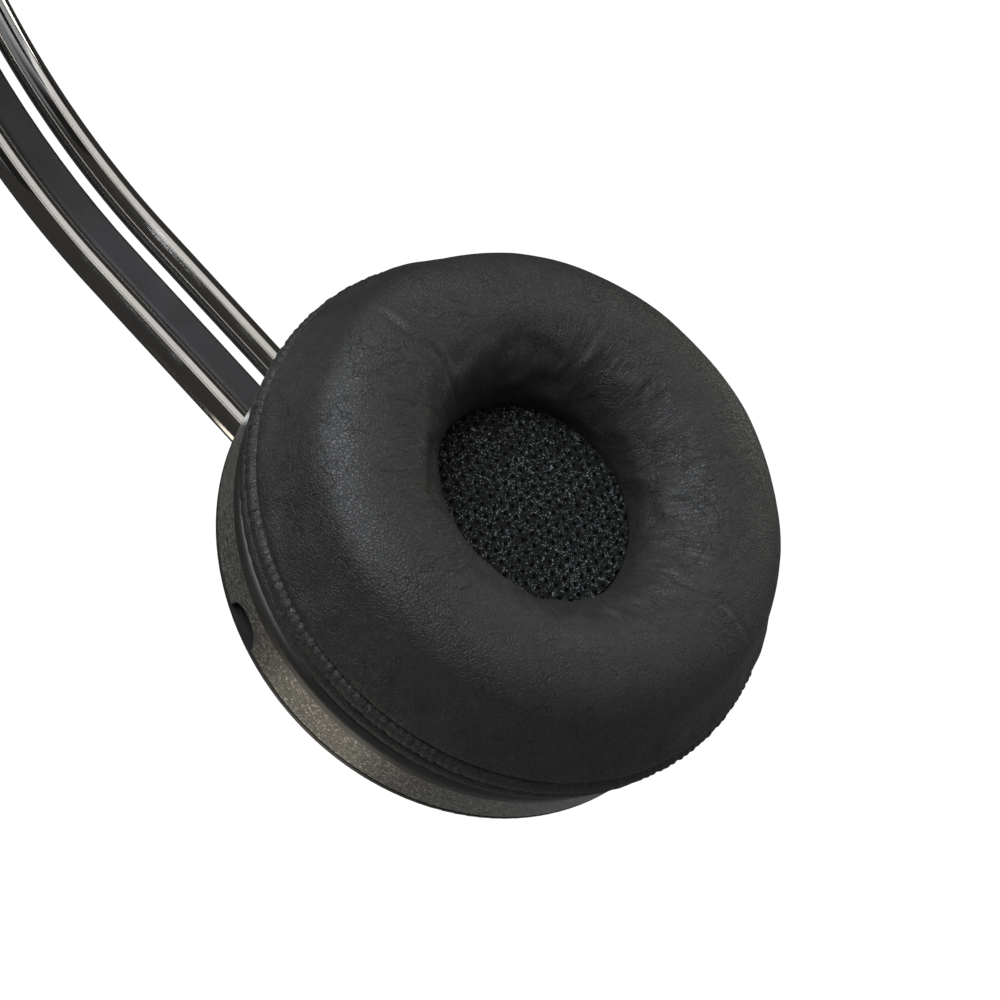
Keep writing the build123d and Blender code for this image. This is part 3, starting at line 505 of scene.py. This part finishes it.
def cushion_cover():
    """Points of the cover in cup space, with its attributes. Formula: the swollen cover, moved along the outline's
    normal by ripples that fade from the seam to the shoulder, gathers in the throat, and long shallow creases."""
    outline, normal, points = stuffed_outline()
    # each ring keeps its own puckers, and its mean goes back to the outline
    angle = full_turn(STEPS_ROUND)[:, None]
    ray = np.stack([np.cos(angle) + 0 * points[..., 0], np.sin(angle) + 0 * points[..., 0]], -1)
    short_r = outline[:, 0] - np.hypot(points[..., 0], points[..., 1]).mean(0)
    points[..., :2] += ray * short_r[None, :, None]
    points[..., 2] += outline[:, 1] - points[..., 2].mean(0)

    # from here r, z and every height are in mm
    r, z = outline[None, :, 0] / MM, outline[None, :, 1] / MM
    # ripples: strongest a little above the seam, gone at the shoulder; they lean, so they drift with height
    above_seam = hill(z, -3.0, 1.9) * (r > 28)
    lean = angle + 0.012 * z
    ripple = soft_noise(lean, (17, 21, 25, 30), 3) * 0.40 + soft_noise(lean, (43, 57, 71), 5) * 0.12
    # a shallow valley round the shoulder, between the gathered wall and the crown
    valley = -0.16 * hill(z, -6.6, 1.5) * (r > 27) * (1 + 0.4 * soft_noise(angle, (4, 7, 9), 8))
    # shallow hollows on the crown, as foam never fills a cover quite evenly
    hollow = soft_noise(angle + 0.02 * r, (3, 5, 8, 11), 9) * 0.14 * hill(z, -10.5, 3.5)
    # fine gathers where the cover turns down into the opening
    gather = soft_noise(angle, (41, 53, 67, 88), 12) * 0.07 + soft_noise(angle, (13, 17), 4) * 0.06
    throat = hill(z, -6.5, 3.0) * (r < 19)
    lift = ripple * above_seam + valley + hollow + gather * throat + pressed_creases(angle, r, z)
    points = points + turned(normal, full_turn(STEPS_ROUND)) * lift[:, :, None] * MM
    points[..., 2] = np.maximum(points[..., 2], -CROWN_H - 0.4 * MM)

    length = np.concatenate([[0], np.cumsum(np.hypot(*np.diff(outline, axis=0).T))]) / MM
    flat = 0 * (angle + z)
    around = np.stack([np.cos(angle) + flat, np.sin(angle) + flat, length[None, :] / COVER_SPAN + flat], -1)
    fold = np.clip(0.15 + hill(r, 16.0, 4.2) * (z < -3) + 0.6 * above_seam, 0, 1.2) + flat
    return points.reshape(-1, 3), around.reshape(-1, 3), fold.ravel()


cover_faces = grid_faces(STEPS_ROUND, STEPS_ALONG, True, True)
points, around, fold = cushion_cover()
for side in "rl":
    facing = cover_faces if side == "l" else cover_faces[:, ::-1]
    made = put_mesh("cushion_cover_" + side, to_ear(points, side), facing)
    store(made.data, "around", around)
    store(made.data, "fold", fold)
    round_off(made)
    made.data.materials.append(cushion_leather)
    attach(made, "cup_" + side)
    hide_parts("ear_cushion_" + side)
    print(made.name, len(made.data.vertices), "points")

# %% [markdown]
# ## Welt and skirt
# The cover's edge and the skirt are sewn together round a thin cord, which makes the welt. Hide bent round so
# small a circle cannot lie flat, so the welt is gathered into hundreds of tiny slanting pleats. Behind it the
# skirt rolls over the mounting plate's rim. Both are rings whose outline is pushed in and out by fine waves.

# %% Welt and skirt rings
WELT_R, WELT_Z, WELT_CORD = 32.2, 1.5, 1.2  # mm
turn = full_turn(14)
WELT = np.stack([WELT_R + WELT_CORD * np.cos(turn), WELT_Z + WELT_CORD * np.sin(turn)], -1) * MM
SKIRT_ROLL = closed_curve(np.array([
    (31.4, 2.7), (32.4, 2.75), (33.1, 3.4), (33.1, 4.3),
    (32.5, 5.1), (31.6, 5.15), (31.15, 4.6), (31.15, 3.3)]) * MM, 20)
# name, outline, steps round the cup, pleats, their depth, slant and seed
GATHERED = (
    ("cushion_welt_", WELT, 1440, 200, 0.19 * MM, 1.2, 21),
    ("cushion_skirt_", SKIRT_ROLL, 900, 96, 0.09 * MM, 0.9, 33))


def gathered_ring(outline, steps, pleats, depth, slant, seed):
    """A ring whose points move out along their own radius from the outline's middle: by a pleat wave with
    many cycles round the cup, slanted along the outline and swelling and fading by a slow seeded wobble."""
    around = full_turn(steps)
    angle = around[:, None]
    away = outline - outline.mean(0)
    away = away / np.hypot(*away.T)[:, None]
    along = np.linspace(0, 1, len(outline), endpoint=False)[None]
    phase = pleats * angle + slant * np.sin(2 * pi * along) + 1.6 * soft_noise(angle, (7, 11, 17, 23), seed)
    strength = 0.55 + 0.45 * soft_noise(angle, (5, 9, 14, 31), seed + 1)
    wave = (np.abs(np.sin(phase / 2)) - 0.6) * strength + 0.35 * soft_noise(angle, (61, 83, 127), seed + 2)
    points = turned(outline, around) + turned(away, around) * (depth * wave)[:, :, None]
    return points.reshape(-1, 3), grid_faces(steps, len(outline), True, True)


for name, *shape in GATHERED:
    points, faces = gathered_ring(*shape)
    for side in "rl":
        made = put_mesh(name + side, to_ear(points, side), faces[:, ::-1] if side == "l" else faces)
        made.data.materials.append(plain_leather)
        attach(made, "cup_" + side)
        print(made.name, len(made.data.vertices), "points")

# %% [markdown]
# ## Knitted screen
# A spacer knit covers the ear opening: black yarn looped round small holes in offset rows. Real relief is worth
# its faces here, since the eye looks straight into it. A square grid is folded onto the disc, and its height comes
# from the distance to the nearest hole of a honeycomb, with each loop's own small unevenness.

# %% Knitted screen
SCREEN_R = 12.75 * MM
SCREEN_Z, SCREEN_SAG = -0.75 * MM, 0.45 * MM
HOLE_PITCH = 1.42 * MM
ROW_PITCH = 0.88 * HOLE_PITCH
YARN_HEIGHT, LOOP_HEIGHT = 0.36 * MM, 0.10 * MM


def knit_height(x, y):
    """Height over a honeycomb of holes: two offset grids give the nearest hole, and the yarn rises round it."""
    u, v = x / HOLE_PITCH, y / ROW_PITCH
    wobble_x = 0.05 * (np.sin(u * 1.9 + 1.3 * y / HOLE_PITCH) + np.sin(v * 2.7 + 0.5))
    wobble_y = 0.05 * (np.sin(v * 2.1 - 0.9 * u) + np.sin(u * 3.1 + 1.1))
    gx, gy = u + wobble_x, (v + wobble_y) / 2
    near = None
    for shift in (0.0, 0.5):
        dx = (gx + shift - np.round(gx + shift)) * HOLE_PITCH
        dy = (gy + shift - np.round(gy + shift)) * 2 * ROW_PITCH
        far = np.hypot(dx, dy)
        near = far if near is None else np.minimum(near, far)
    rise = np.clip((near / HOLE_PITCH - 0.10) / 0.17, 0, 1)
    rise = rise * rise * (3 - 2 * rise)
    # the loops of yarn: two crossed waves about 0.6 mm long
    loops = np.sin(2 * pi * (x * 1.7 + y * 1.1) / (0.62 * MM)) * np.sin(2 * pi * (x * 0.9 - y * 1.9) / (0.66 * MM))
    return rise * (YARN_HEIGHT + LOOP_HEIGHT * loops), rise


def knitted_screen(steps=230):
    """A square grid folded onto a disc, each square ring becoming a circle, lifted by the knit and a sag."""
    a, b = np.meshgrid(np.linspace(-1, 1, steps), np.linspace(-1, 1, steps), indexing="ij")
    longer = np.maximum(np.abs(a), np.abs(b))
    bent = np.arctan2(b, a)
    radius = SCREEN_R * np.hypot(a, b) * np.maximum(np.abs(np.cos(bent)), np.abs(np.sin(bent)))
    x, y = radius * np.cos(bent), radius * np.sin(bent)
    high, rise = knit_height(x, y)
    z = SCREEN_Z - high - SCREEN_SAG * (1 - longer**2)
    return np.stack([x, y, z], -1).reshape(-1, 3), grid_faces(steps, steps, False, False), rise.ravel()


def knit_finish():
    material, tree, surface, place = start_finish("knit_yarn", Specular_IOR_Level=0.15)
    rise = add(tree, "Attribute", attribute_name="rise").outputs["Fac"]
    fibres = noise(tree, place, 7000.0, 4.0, 0.75)
    chance = channels(tree, cells(tree, place, 7500.0)["Color"])
    patches = noise(tree, place, 500.0)
    yarn = mix(tree, spread(tree, fibres, 0.4, 0.62), (0.0015, 0.0016, 0.0018), (0.015, 0.0165, 0.0165))
    # painted shade: the colour falls to near black down in the holes, where the knit sinks
    deep = mix(tree, spread(tree, rise, 0.1, 0.9), (0.0006, 0.0006, 0.0008), yarn)
    # painted glints: bright fibre-end specks put into the base colour as highlights, only up on the yarn
    lit = times(tree, spread(tree, chance[0], 0.84, 0.98), spread(tree, patches, 0.3, 0.6, 0.5, 1.0))
    painted_glint = times(tree, lit, spread(tree, rise, 0.4, 1.0))
    feed(tree, surface, Base_Color=mix(tree, painted_glint, deep, (0.26, 0.28, 0.275)),
         Roughness=spread(tree, chance[1], 0.5, 1.0, 0.75, 0.4))
    raise_surface(tree, surface, plus(tree, fibres, times(tree, chance[0], 0.8)), 0.00012)
    return material


knit = knit_finish()
points, faces, rise = knitted_screen()
for side in "rl":
    made = put_mesh("screen_knit_" + side, to_ear(points, side), faces if side == "r" else faces[:, ::-1])
    store(made.data, "rise", rise)
    made.data.materials.append(knit)
    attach(made, "cup_" + side)
    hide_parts("mesh_screen_" + side)
print("screen holes about", round(HOLE_PITCH / MM, 2), "mm apart")

# %% [markdown]
# ## Rods
# The band is two polished rods bent in three arcs. A mirror finish shows every flat of a coarse mesh, so the rods
# are swept again here: a circle carried along the same line, finely stepped, with the CAD rod's own ends.

# %% Polished rods
rod_low, rod_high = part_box("band_rod_front")
ROD_R = (rod_high.y - rod_low.y) / 2
ROD_X = rod_high.x - ROD_R
SHOULDER_Z, SHOULDER_ARC, TOP_ARC = 57.0 * MM, 72.0 * MM, 105.0 * MM
arch_inset = ROD_X - SHOULDER_ARC
arch_z = SHOULDER_Z - ((TOP_ARC - SHOULDER_ARC) ** 2 - arch_inset**2) ** 0.5


def rod_line(count):
    """The rod's line as points and directions: a straight leg, a shoulder arc and half of the top arc, then their
    mirror image. On an arc the point is centre + radius x (cos, sin) of an even spread of angles."""
    join = np.arcsin(arch_inset / (TOP_ARC - SHOULDER_ARC))
    leg = np.linspace(rod_low.z, SHOULDER_Z, count, endpoint=False)
    first = np.stack([np.full(count, ROD_X), leg], -1)
    bend = np.linspace(0, pi / 2 - join, count, endpoint=False)
    second = np.stack([arch_inset + SHOULDER_ARC * np.cos(bend), SHOULDER_Z + SHOULDER_ARC * np.sin(bend)], -1)
    top = np.linspace(pi / 2 - join, pi / 2, count)
    third = np.stack([TOP_ARC * np.cos(top), arch_z + TOP_ARC * np.sin(top)], -1)
    half = np.vstack([first, second, third])
    line = np.vstack([half, (half[:-1] * (-1, 1))[::-1]])
    step = np.gradient(line, axis=0)
    return line, step / np.hypot(*step.T)[:, None]


ROD_CHAMFER = 0.3 * MM
ROD_FACE = 0.86  # the flat end's share of the radius


def swept_rod(y, radius, around=40):
    """A circle carried along the rod's line: centre + radius x (cos x sideways + sin x across). The first and
    last circles are drawn in to a small chamfer, and closed to almost a point."""
    line, direction = rod_line(90)
    scale = np.ones(len(line))
    line = np.vstack([line[:1], line[:1], line, line[-1:], line[-1:]])
    direction = np.vstack([direction[:1]] * 2 + [direction] + [direction[-1:]] * 2)
    scale = np.concatenate([[0.02, ROD_FACE], scale, [ROD_FACE, 0.02]]) * radius
    line[2] += direction[2] * ROD_CHAMFER
    line[-3] -= direction[-3] * ROD_CHAMFER
    side = np.stack([-direction[:, 1], direction[:, 0]], -1)
    angle = full_turn(around)
    x = line[:, None, 0] + scale[:, None] * side[:, None, 0] * np.cos(angle)
    z = line[:, None, 1] + scale[:, None] * side[:, None, 1] * np.cos(angle)
    across = y + scale[:, None] * np.sin(angle)
    return np.stack([x, across, z], -1).reshape(-1, 3), grid_faces(len(line), around, False, True)


def chrome_finish():
    material, tree, surface, place = start_finish("polished_chrome", Metallic=1.0, Specular_IOR_Level=0.5)
    wear = use_group(tree, handling, {"Vector": place, "Smudges": 110.0})
    tone = mix(tree, wear["Smudge"], (0.80, 0.785, 0.765), (0.72, 0.70, 0.675))
    feed(tree, surface, Base_Color=mix(tree, times(tree, wear["Dust"], 0.3), tone, (0.5, 0.49, 0.47)),
         Roughness=plus(tree, 0.05, times(tree, wear["Smudge"], 0.07)))
    raise_surface(tree, surface, noise(tree, place, 60.0, 1.0), 0.0002, 0.04)
    return material


chrome = chrome_finish()
for node in ("band_rod_front", "band_rod_rear"):
    low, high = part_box(node)
    points, faces = swept_rod((low.y + high.y) / 2, ROD_R)
    made = put_mesh(node.replace("band_rod", "polished_rod"), points, faces)
    made.data.materials.append(chrome)
    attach(made, "band")
    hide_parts(node)
    print(made.name, "radius", round(1000 * ROD_R, 2), "mm")

# %% [markdown]
# ## Crown pad
# The pad under the crown is a long pillow of the same leatherette, sewn with a piped edge where its top and
# bottom panels meet. It is swollen by the same cloth run as the ear cushions: its outline is a rounded rectangle
# carried round the crown's arc, closing in at both ends, with its seam pinned.

# %% Crown pad
pad_low, pad_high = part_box("headband_pad")
PAD_HALF_W = (pad_high.y - pad_low.y) / 2
PAD_TOP_R = TOP_ARC - 3.8 * MM
PAD_THICK = 9.4 * MM
PAD_MIDDLE_R = PAD_TOP_R - PAD_THICK / 2
PAD_ANGLE = radians(32.77)
PAD_SHRINK = 0.93  # the skin's depth below the seam before it swells
PIPING_R = 0.75  # mm


def crown_pad(turns=150, around=72):
    """A closed pillow. Formula, at each angle of the arc: (sign of cos) x |cos|^0.5 across and (sign of sin) x
    |sin|^0.6 deep, the depth falling to nothing at the ends. The cloth run and the hollows follow."""
    share = np.linspace(-1, 1, turns)[:, None] * 0.996
    ends = (1 - np.abs(share) ** 14) ** 0.28
    angle = full_turn(around)[None]
    c, s = np.cos(angle), np.sin(angle)
    across = PAD_HALF_W * np.sign(c) * np.abs(c) ** 0.5 * (0.75 + 0.25 * ends) * 0.97
    deep = PAD_THICK / 2 * np.sign(s) * np.abs(s) ** 0.6 * ends
    deep = np.where(deep > 0, 0.985, PAD_SHRINK) * deep
    turn_at = share * PAD_ANGLE + 0 * angle
    radius = PAD_MIDDLE_R + deep
    points = np.stack([radius * np.sin(turn_at), across, arch_z + radius * np.cos(turn_at)], -1)
    faces = grid_faces(turns, around, False, True)
    # the seam is held, and so is the top panel, which lies on the crown
    pinned = np.broadcast_to((np.abs(s) < 0.08) | (s > 0.55), turn_at.shape).ravel()
    points = swell(points.reshape(-1, 3), faces, pinned, cap=1.0 * MM, spare=0.02).reshape(turns, around, 3)

    # shallow cross-wise hollows on the side that meets the head, and small puckers beside the seam
    below = np.clip(-s, 0, 1)
    beside = hill(np.abs(s), 0.35, 0.2)
    along = share * 20
    hollow = 0.16 * np.cos(1.9 * along + 0.7) * np.cos(0.6 * along) * below
    pucker = 0.10 * np.cos(13.1 * along + 2 * np.cos(3 * along)) * beside
    radial = np.stack([np.sin(turn_at), 0 * turn_at, np.cos(turn_at)], -1)
    points = points - radial * ((hollow + pucker) * ends * MM)[:, :, None]
    # nothing rises past the pad's top, where the crown begins
    factor = np.minimum(1.0, (PAD_TOP_R - 0.05 * MM) / np.hypot(points[..., 0], points[..., 2] - arch_z))
    points[..., 0] *= factor
    points[..., 2] = arch_z + (points[..., 2] - arch_z) * factor
    return points.reshape(-1, 3), faces


points, faces = crown_pad()
pad = put_mesh("crown_pad_cover", points, faces)
round_off(pad)
pad.data.materials.append(plain_leather)
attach(pad, "band")
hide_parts("headband_pad")


def pad_piping(steps=1400, around=12):
    """A thin cord round the pad's edge: a circle carried along the seam line, pushed out by fine pleats. The seam
    runs along one side, round the end and back: (sign of cos) x |cos|^0.13 of the arc's angle, and the same with
    sin of the width."""
    t = full_turn(steps)
    c, s = np.cos(t), np.sin(t)
    turn_at = PAD_ANGLE * 0.992 * np.sign(c) * np.abs(c) ** 0.13
    y = (PAD_HALF_W - 0.55 * MM) * np.sign(s) * np.abs(s) ** 0.13
    # equal steps along the line, so that the pleats are even
    line = np.stack([PAD_MIDDLE_R * np.sin(turn_at), y, arch_z + PAD_MIDDLE_R * np.cos(turn_at)], -1)
    closed = np.vstack([line, line[:1]])
    length = np.concatenate([[0], np.cumsum(np.linalg.norm(np.diff(closed, axis=0), axis=1))])
    want = np.linspace(0, length[-1], steps, endpoint=False)
    line = np.stack([np.interp(want, length, closed[:, k]) for k in range(3)], -1)
    step = np.roll(line, -1, 0) - np.roll(line, 1, 0)
    step /= np.linalg.norm(step, axis=1, keepdims=True)
    radial = line * (1, 0, 1) - np.array([0, 0, arch_z])
    radial /= np.linalg.norm(radial, axis=1, keepdims=True)
    side = np.cross(step, radial)
    side /= np.linalg.norm(side, axis=1, keepdims=True)
    angle = full_turn(around)
    pleat = PIPING_R + 0.05 * np.abs(np.sin(want / (1.3 * MM) * pi))[:, None] + 0 * angle
    out = radial[:, None] * np.cos(angle)[None, :, None] + side[:, None] * np.sin(angle)[None, :, None]
    return (line[:, None] + out * pleat[:, :, None] * MM).reshape(-1, 3), grid_faces(steps, around, True, True)


points, faces = pad_piping()
piping = put_mesh("crown_pad_piping", points, faces)
piping.data.materials.append(plain_leather)
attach(piping, "band")

# %% [markdown]
# ## Finishes for the carried-over parts
# The CAD parts keep their shapes, so only their finish is new. One function makes a moulded plastic
# in any tone and texture, another any plain metal, and a few parts get a finish of their own.

# %% Moulded plastics and metals
def moulded(name, dark, light, roughness, bite=4200.0, depth=0.00003):
    material, tree, surface, place = start_finish(name, Specular_IOR_Level=0.5)
    texture = use_group(tree, moulding, {"Vector": place, "Bite": bite})
    wear = use_group(tree, handling, {"Vector": place})
    tone = mix(tree, spread(tree, texture["Tone"], 0.35, 0.65), dark, light)
    feed(tree, surface, Base_Color=mix(tree, times(tree, wear["Dust"], 0.35), tone, (0.16, 0.155, 0.145)),
         Roughness=plus(tree, roughness, times(tree, wear["Smudge"], 0.1)))
    raise_surface(tree, surface, texture["Height"], depth, 0.7)
    return material


def metal(name, colour, roughness):
    material, tree, surface, place = start_finish(name, Metallic=1.0)
    lathe = use_group(tree, turning, {"Vector": place})
    wear = use_group(tree, handling, {"Vector": place, "Smudges": 150.0})
    darker = tuple(0.72 * c for c in colour)
    feed(tree, surface, Base_Color=mix(tree, spread(tree, lathe["Tone"], 0.35, 0.65), darker, colour),
         Roughness=plus(tree, roughness, times(tree, wear["Smudge"], 0.12)))
    raise_surface(tree, surface, lathe["Height"], 0.00002, 0.5)
    return material


def flaked_lacquer():
    material, tree, surface, place = start_finish("gunmetal_lacquer", Coat_Weight=0.35, Coat_Roughness=0.28)
    sparkle = use_group(tree, flake, {"Vector": place})
    wear = use_group(tree, handling, {"Vector": place, "Smudges": 90.0})
    tone = mix(tree, spread(tree, sparkle["Tone"], 0.25, 0.95), (0.035, 0.033, 0.028), (0.135, 0.128, 0.11))
    feed(tree, surface, Base_Color=mix(tree, sparkle["Sparkle"], tone, (0.42, 0.40, 0.35)),
         Metallic=spread(tree, sparkle["Sparkle"], 0.0, 1.0, 0.35, 0.8),
         Roughness=plus(tree, 0.4, times(tree, wear["Smudge"], 0.08)))
    raise_surface(tree, surface, sparkle["Height"], 0.00003, 0.8)
    return material


def foam_finish():
    material, tree, surface, place = start_finish("open_foam", Specular_IOR_Level=0.2)
    bubbles = cells(tree, place, 2600.0)["Distance"]
    tone = mix(tree, spread(tree, bubbles, 0.1, 0.6), (0.004, 0.004, 0.004), (0.035, 0.035, 0.035))
    feed(tree, surface, Base_Color=tone, Roughness=spread(tree, bubbles, 0.0, 1.0, 0.85, 0.95))
    raise_surface(tree, surface, bubbles, 0.0003)
    return material


def board_finish():
    material, tree, surface, place = start_finish("circuit_board", Coat_Weight=0.4, Coat_Roughness=0.15)
    tracks = add(tree, "TexBrick", {"Vector": place, "Scale": 900.0, "Mortar Size": 0.03}).outputs["Fac"]
    weave = use_group(tree, moulding, {"Vector": place, "Bite": 2500.0})
    feed(tree, surface, Base_Color=mix(tree, tracks, (0.006, 0.05, 0.022), (0.012, 0.1, 0.045)),
         Roughness=spread(tree, weave["Tone"], 0.3, 0.7, 0.28, 0.4))
    raise_surface(tree, surface, weave["Height"], 0.00003, 0.5)
    return material


BLACK = (0.008, 0.008, 0.0085)
finishes = {
    "chrome_rod": chrome,
    "black_strip": moulded("strip_plastic", BLACK, (0.018, 0.018, 0.019), 0.42, 5200.0),
    "black_plastic": moulded("textured_black", BLACK, (0.02, 0.0195, 0.019), 0.5),
    "shell_plastic": moulded(
        "satin_shell", (0.015, 0.0148, 0.0142), (0.03, 0.0295, 0.028), 0.38, 6000.0, 0.00002),
    "leatherette": plain_leather,
    "mesh_cloth": knit,
    "foam": foam_finish(),
    "bezel_plastic": moulded(
        "smooth_bezel", (0.017, 0.016, 0.0145), (0.028, 0.0265, 0.024), 0.36, 7000.0, 0.00001),
    "cup_metallic": flaked_lacquer(),
    "cap_plastic": moulded(
        "satin_cap", (0.014, 0.0132, 0.0125), (0.027, 0.0255, 0.024), 0.4, 5600.0, 0.00002),
    "steel_pin": metal("turned_steel", (0.56, 0.56, 0.57), 0.25),
    "screw_steel": metal("blackened_steel", (0.16, 0.16, 0.165), 0.35),
    "nylon": moulded("natural_nylon", (0.62, 0.6, 0.55), (0.74, 0.72, 0.68), 0.45),
    "cone_film": moulded("cone_film", (0.2, 0.16, 0.1), (0.3, 0.25, 0.17), 0.25),
    "magnet_steel": metal("zinc_plate", (0.6, 0.6, 0.62), 0.3),
    "board_green": board_finish(),
    "jack_metal": metal("nickel_plate", (0.66, 0.63, 0.57), 0.2),
    "boom_black": moulded("boom_black", BLACK, (0.02, 0.0195, 0.019), 0.42, 5000.0),
    "clip_steel": metal("spring_steel", (0.42, 0.42, 0.43), 0.3),
    "button_grey": moulded("button_grey", (0.06, 0.06, 0.062), (0.09, 0.09, 0.092), 0.45),
}
for entry in record["subparts"]:
    mesh = nodes[entry["node"]].data
    mesh.materials.clear()
    mesh.materials.append(finishes[entry["material_slot"]])
print(len(record["subparts"]), "CAD nodes finished with", len(finishes), "materials")

# %% [markdown]
# ## Camera, floor and light
# The camera stands in front of the wearer's left side, a quarter of a metre from the right cup, looks into its
# cushion at 37 degrees from its axis, and is rolled so that the band runs up to the left. A black object shows
# only what it mirrors: a broad cool box up at the left for the sheen on the crown, a wide card at the right for
# the rods, warm boxes low at the sides for the slopes, a faint one below, and a dim room.

# %% Camera
seam_centre = Vector((-seam_x, 0, 0))
to_head, to_front = Vector((1, 0, 0)), Vector((0, -1, 0))
down = to_head.cross(to_front)
off_axis, roll, distance = radians(37.04), radians(137.80), 0.24783
eye = seam_centre + distance * (sin(off_axis) * to_front + cos(off_axis) * to_head)
aim = seam_centre + 0.001776 * to_front - 0.002813 * down
sight = (aim - eye).normalized()
level_x = (to_front - to_front.dot(sight) * sight).normalized()
level_y = (-sight).cross(level_x)
across = cos(roll) * level_x + sin(roll) * level_y
upward = -sin(roll) * level_x + cos(roll) * level_y
camera = bpy.data.objects.new("camera", bpy.data.cameras.new("camera"))
camera.data.sensor_width, camera.data.lens = 36.0, 77.66
camera.data.clip_start, camera.data.clip_end = 0.01, 50.0
camera.matrix_world = Matrix.Translation(eye) @ Matrix((across, upward, -sight)).transposed().to_4x4()
scene.collection.objects.link(camera)
scene.camera = camera

# %% Floor
def white_for_camera(tree, seen_by_lights, seen_by_camera, output):
    """Shows plain white to the camera, while light itself meets the dimmer shader."""
    camera_ray = add(tree, "LightPath").outputs["Is Camera Ray"]
    joined = add(tree, "MixShader", {0: camera_ray, 1: seen_by_lights, 2: seen_by_camera})
    tree.links.new(joined.outputs[0], output.inputs["Surface"])


WHITE = {"Color": (1, 1, 1, 1), "Strength": 1.05}
FLOOR_REACH = 4.0
floor_z = cad_low.z - 0.11  # clear of the boom, turned down
square = ((-1, -1), (1, -1), (1, 1), (-1, 1))
floor = put_mesh("floor", [(FLOOR_REACH * x, FLOOR_REACH * y, floor_z) for x, y in square], [(0, 1, 2, 3)], False)
pale, tree, surface, place = start_finish("pale_floor", Base_Color=(0.3, 0.3, 0.3, 1), Roughness=0.8)
glow = add(tree, "Emission", WHITE)
white_for_camera(tree, surface.outputs[0], glow.outputs[0], tree.nodes["Material Output"])
floor.data.materials.append(pale)
floor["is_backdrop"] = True


# %% Lights and room
def soft_box(name, right, up, near, size, power, colour):
    """A square light placed in the camera's own directions from the cup, and facing it."""
    light = bpy.data.objects.new(name, bpy.data.lights.new(name, "AREA"))
    light.data.size, light.data.energy, light.data.color = size, power, colour
    spot = seam_centre + across * right + upward * up - sight * near
    light.location = spot
    light.rotation_euler = (seam_centre - spot).to_track_quat("-Z", "Y").to_euler()
    scene.collection.objects.link(light)


# name, metres right, up and towards the camera, size, power, colour
soft_box("window_box", -0.16, 0.42, 0.34, 0.56, 6.4, (0.90, 0.94, 1.0))
soft_box("upper_card", 0.36, 0.32, 0.34, 0.66, 0.9, (1.0, 0.98, 0.95))
soft_box("right_box", 0.46, 0.16, -0.18, 0.34, 1.5, (1.0, 0.95, 0.86))
soft_box("left_box", -0.28, -0.34, -0.10, 0.30, 0.42, (1.0, 0.92, 0.78))
soft_box("low_box", -0.16, -0.30, 0.40, 0.34, 0.06, (0.92, 0.95, 1.0))

room = bpy.data.worlds.new("room")
room.use_nodes = True
scene.world = room
tree = room.node_tree
back = tree.nodes["Background"]
back.inputs["Color"].default_value, back.inputs["Strength"].default_value = (1.0, 0.97, 0.93, 1), 0.035
white_for_camera(tree, back.outputs[0], add(tree, "Background", WHITE).outputs[0], tree.nodes["World Output"])
scene.view_settings.view_transform = "Standard"

# %% Print the visual box, and finish
low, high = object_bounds()
print("visual box in mm:", [round(1000 * v, 1) for v in high - low])
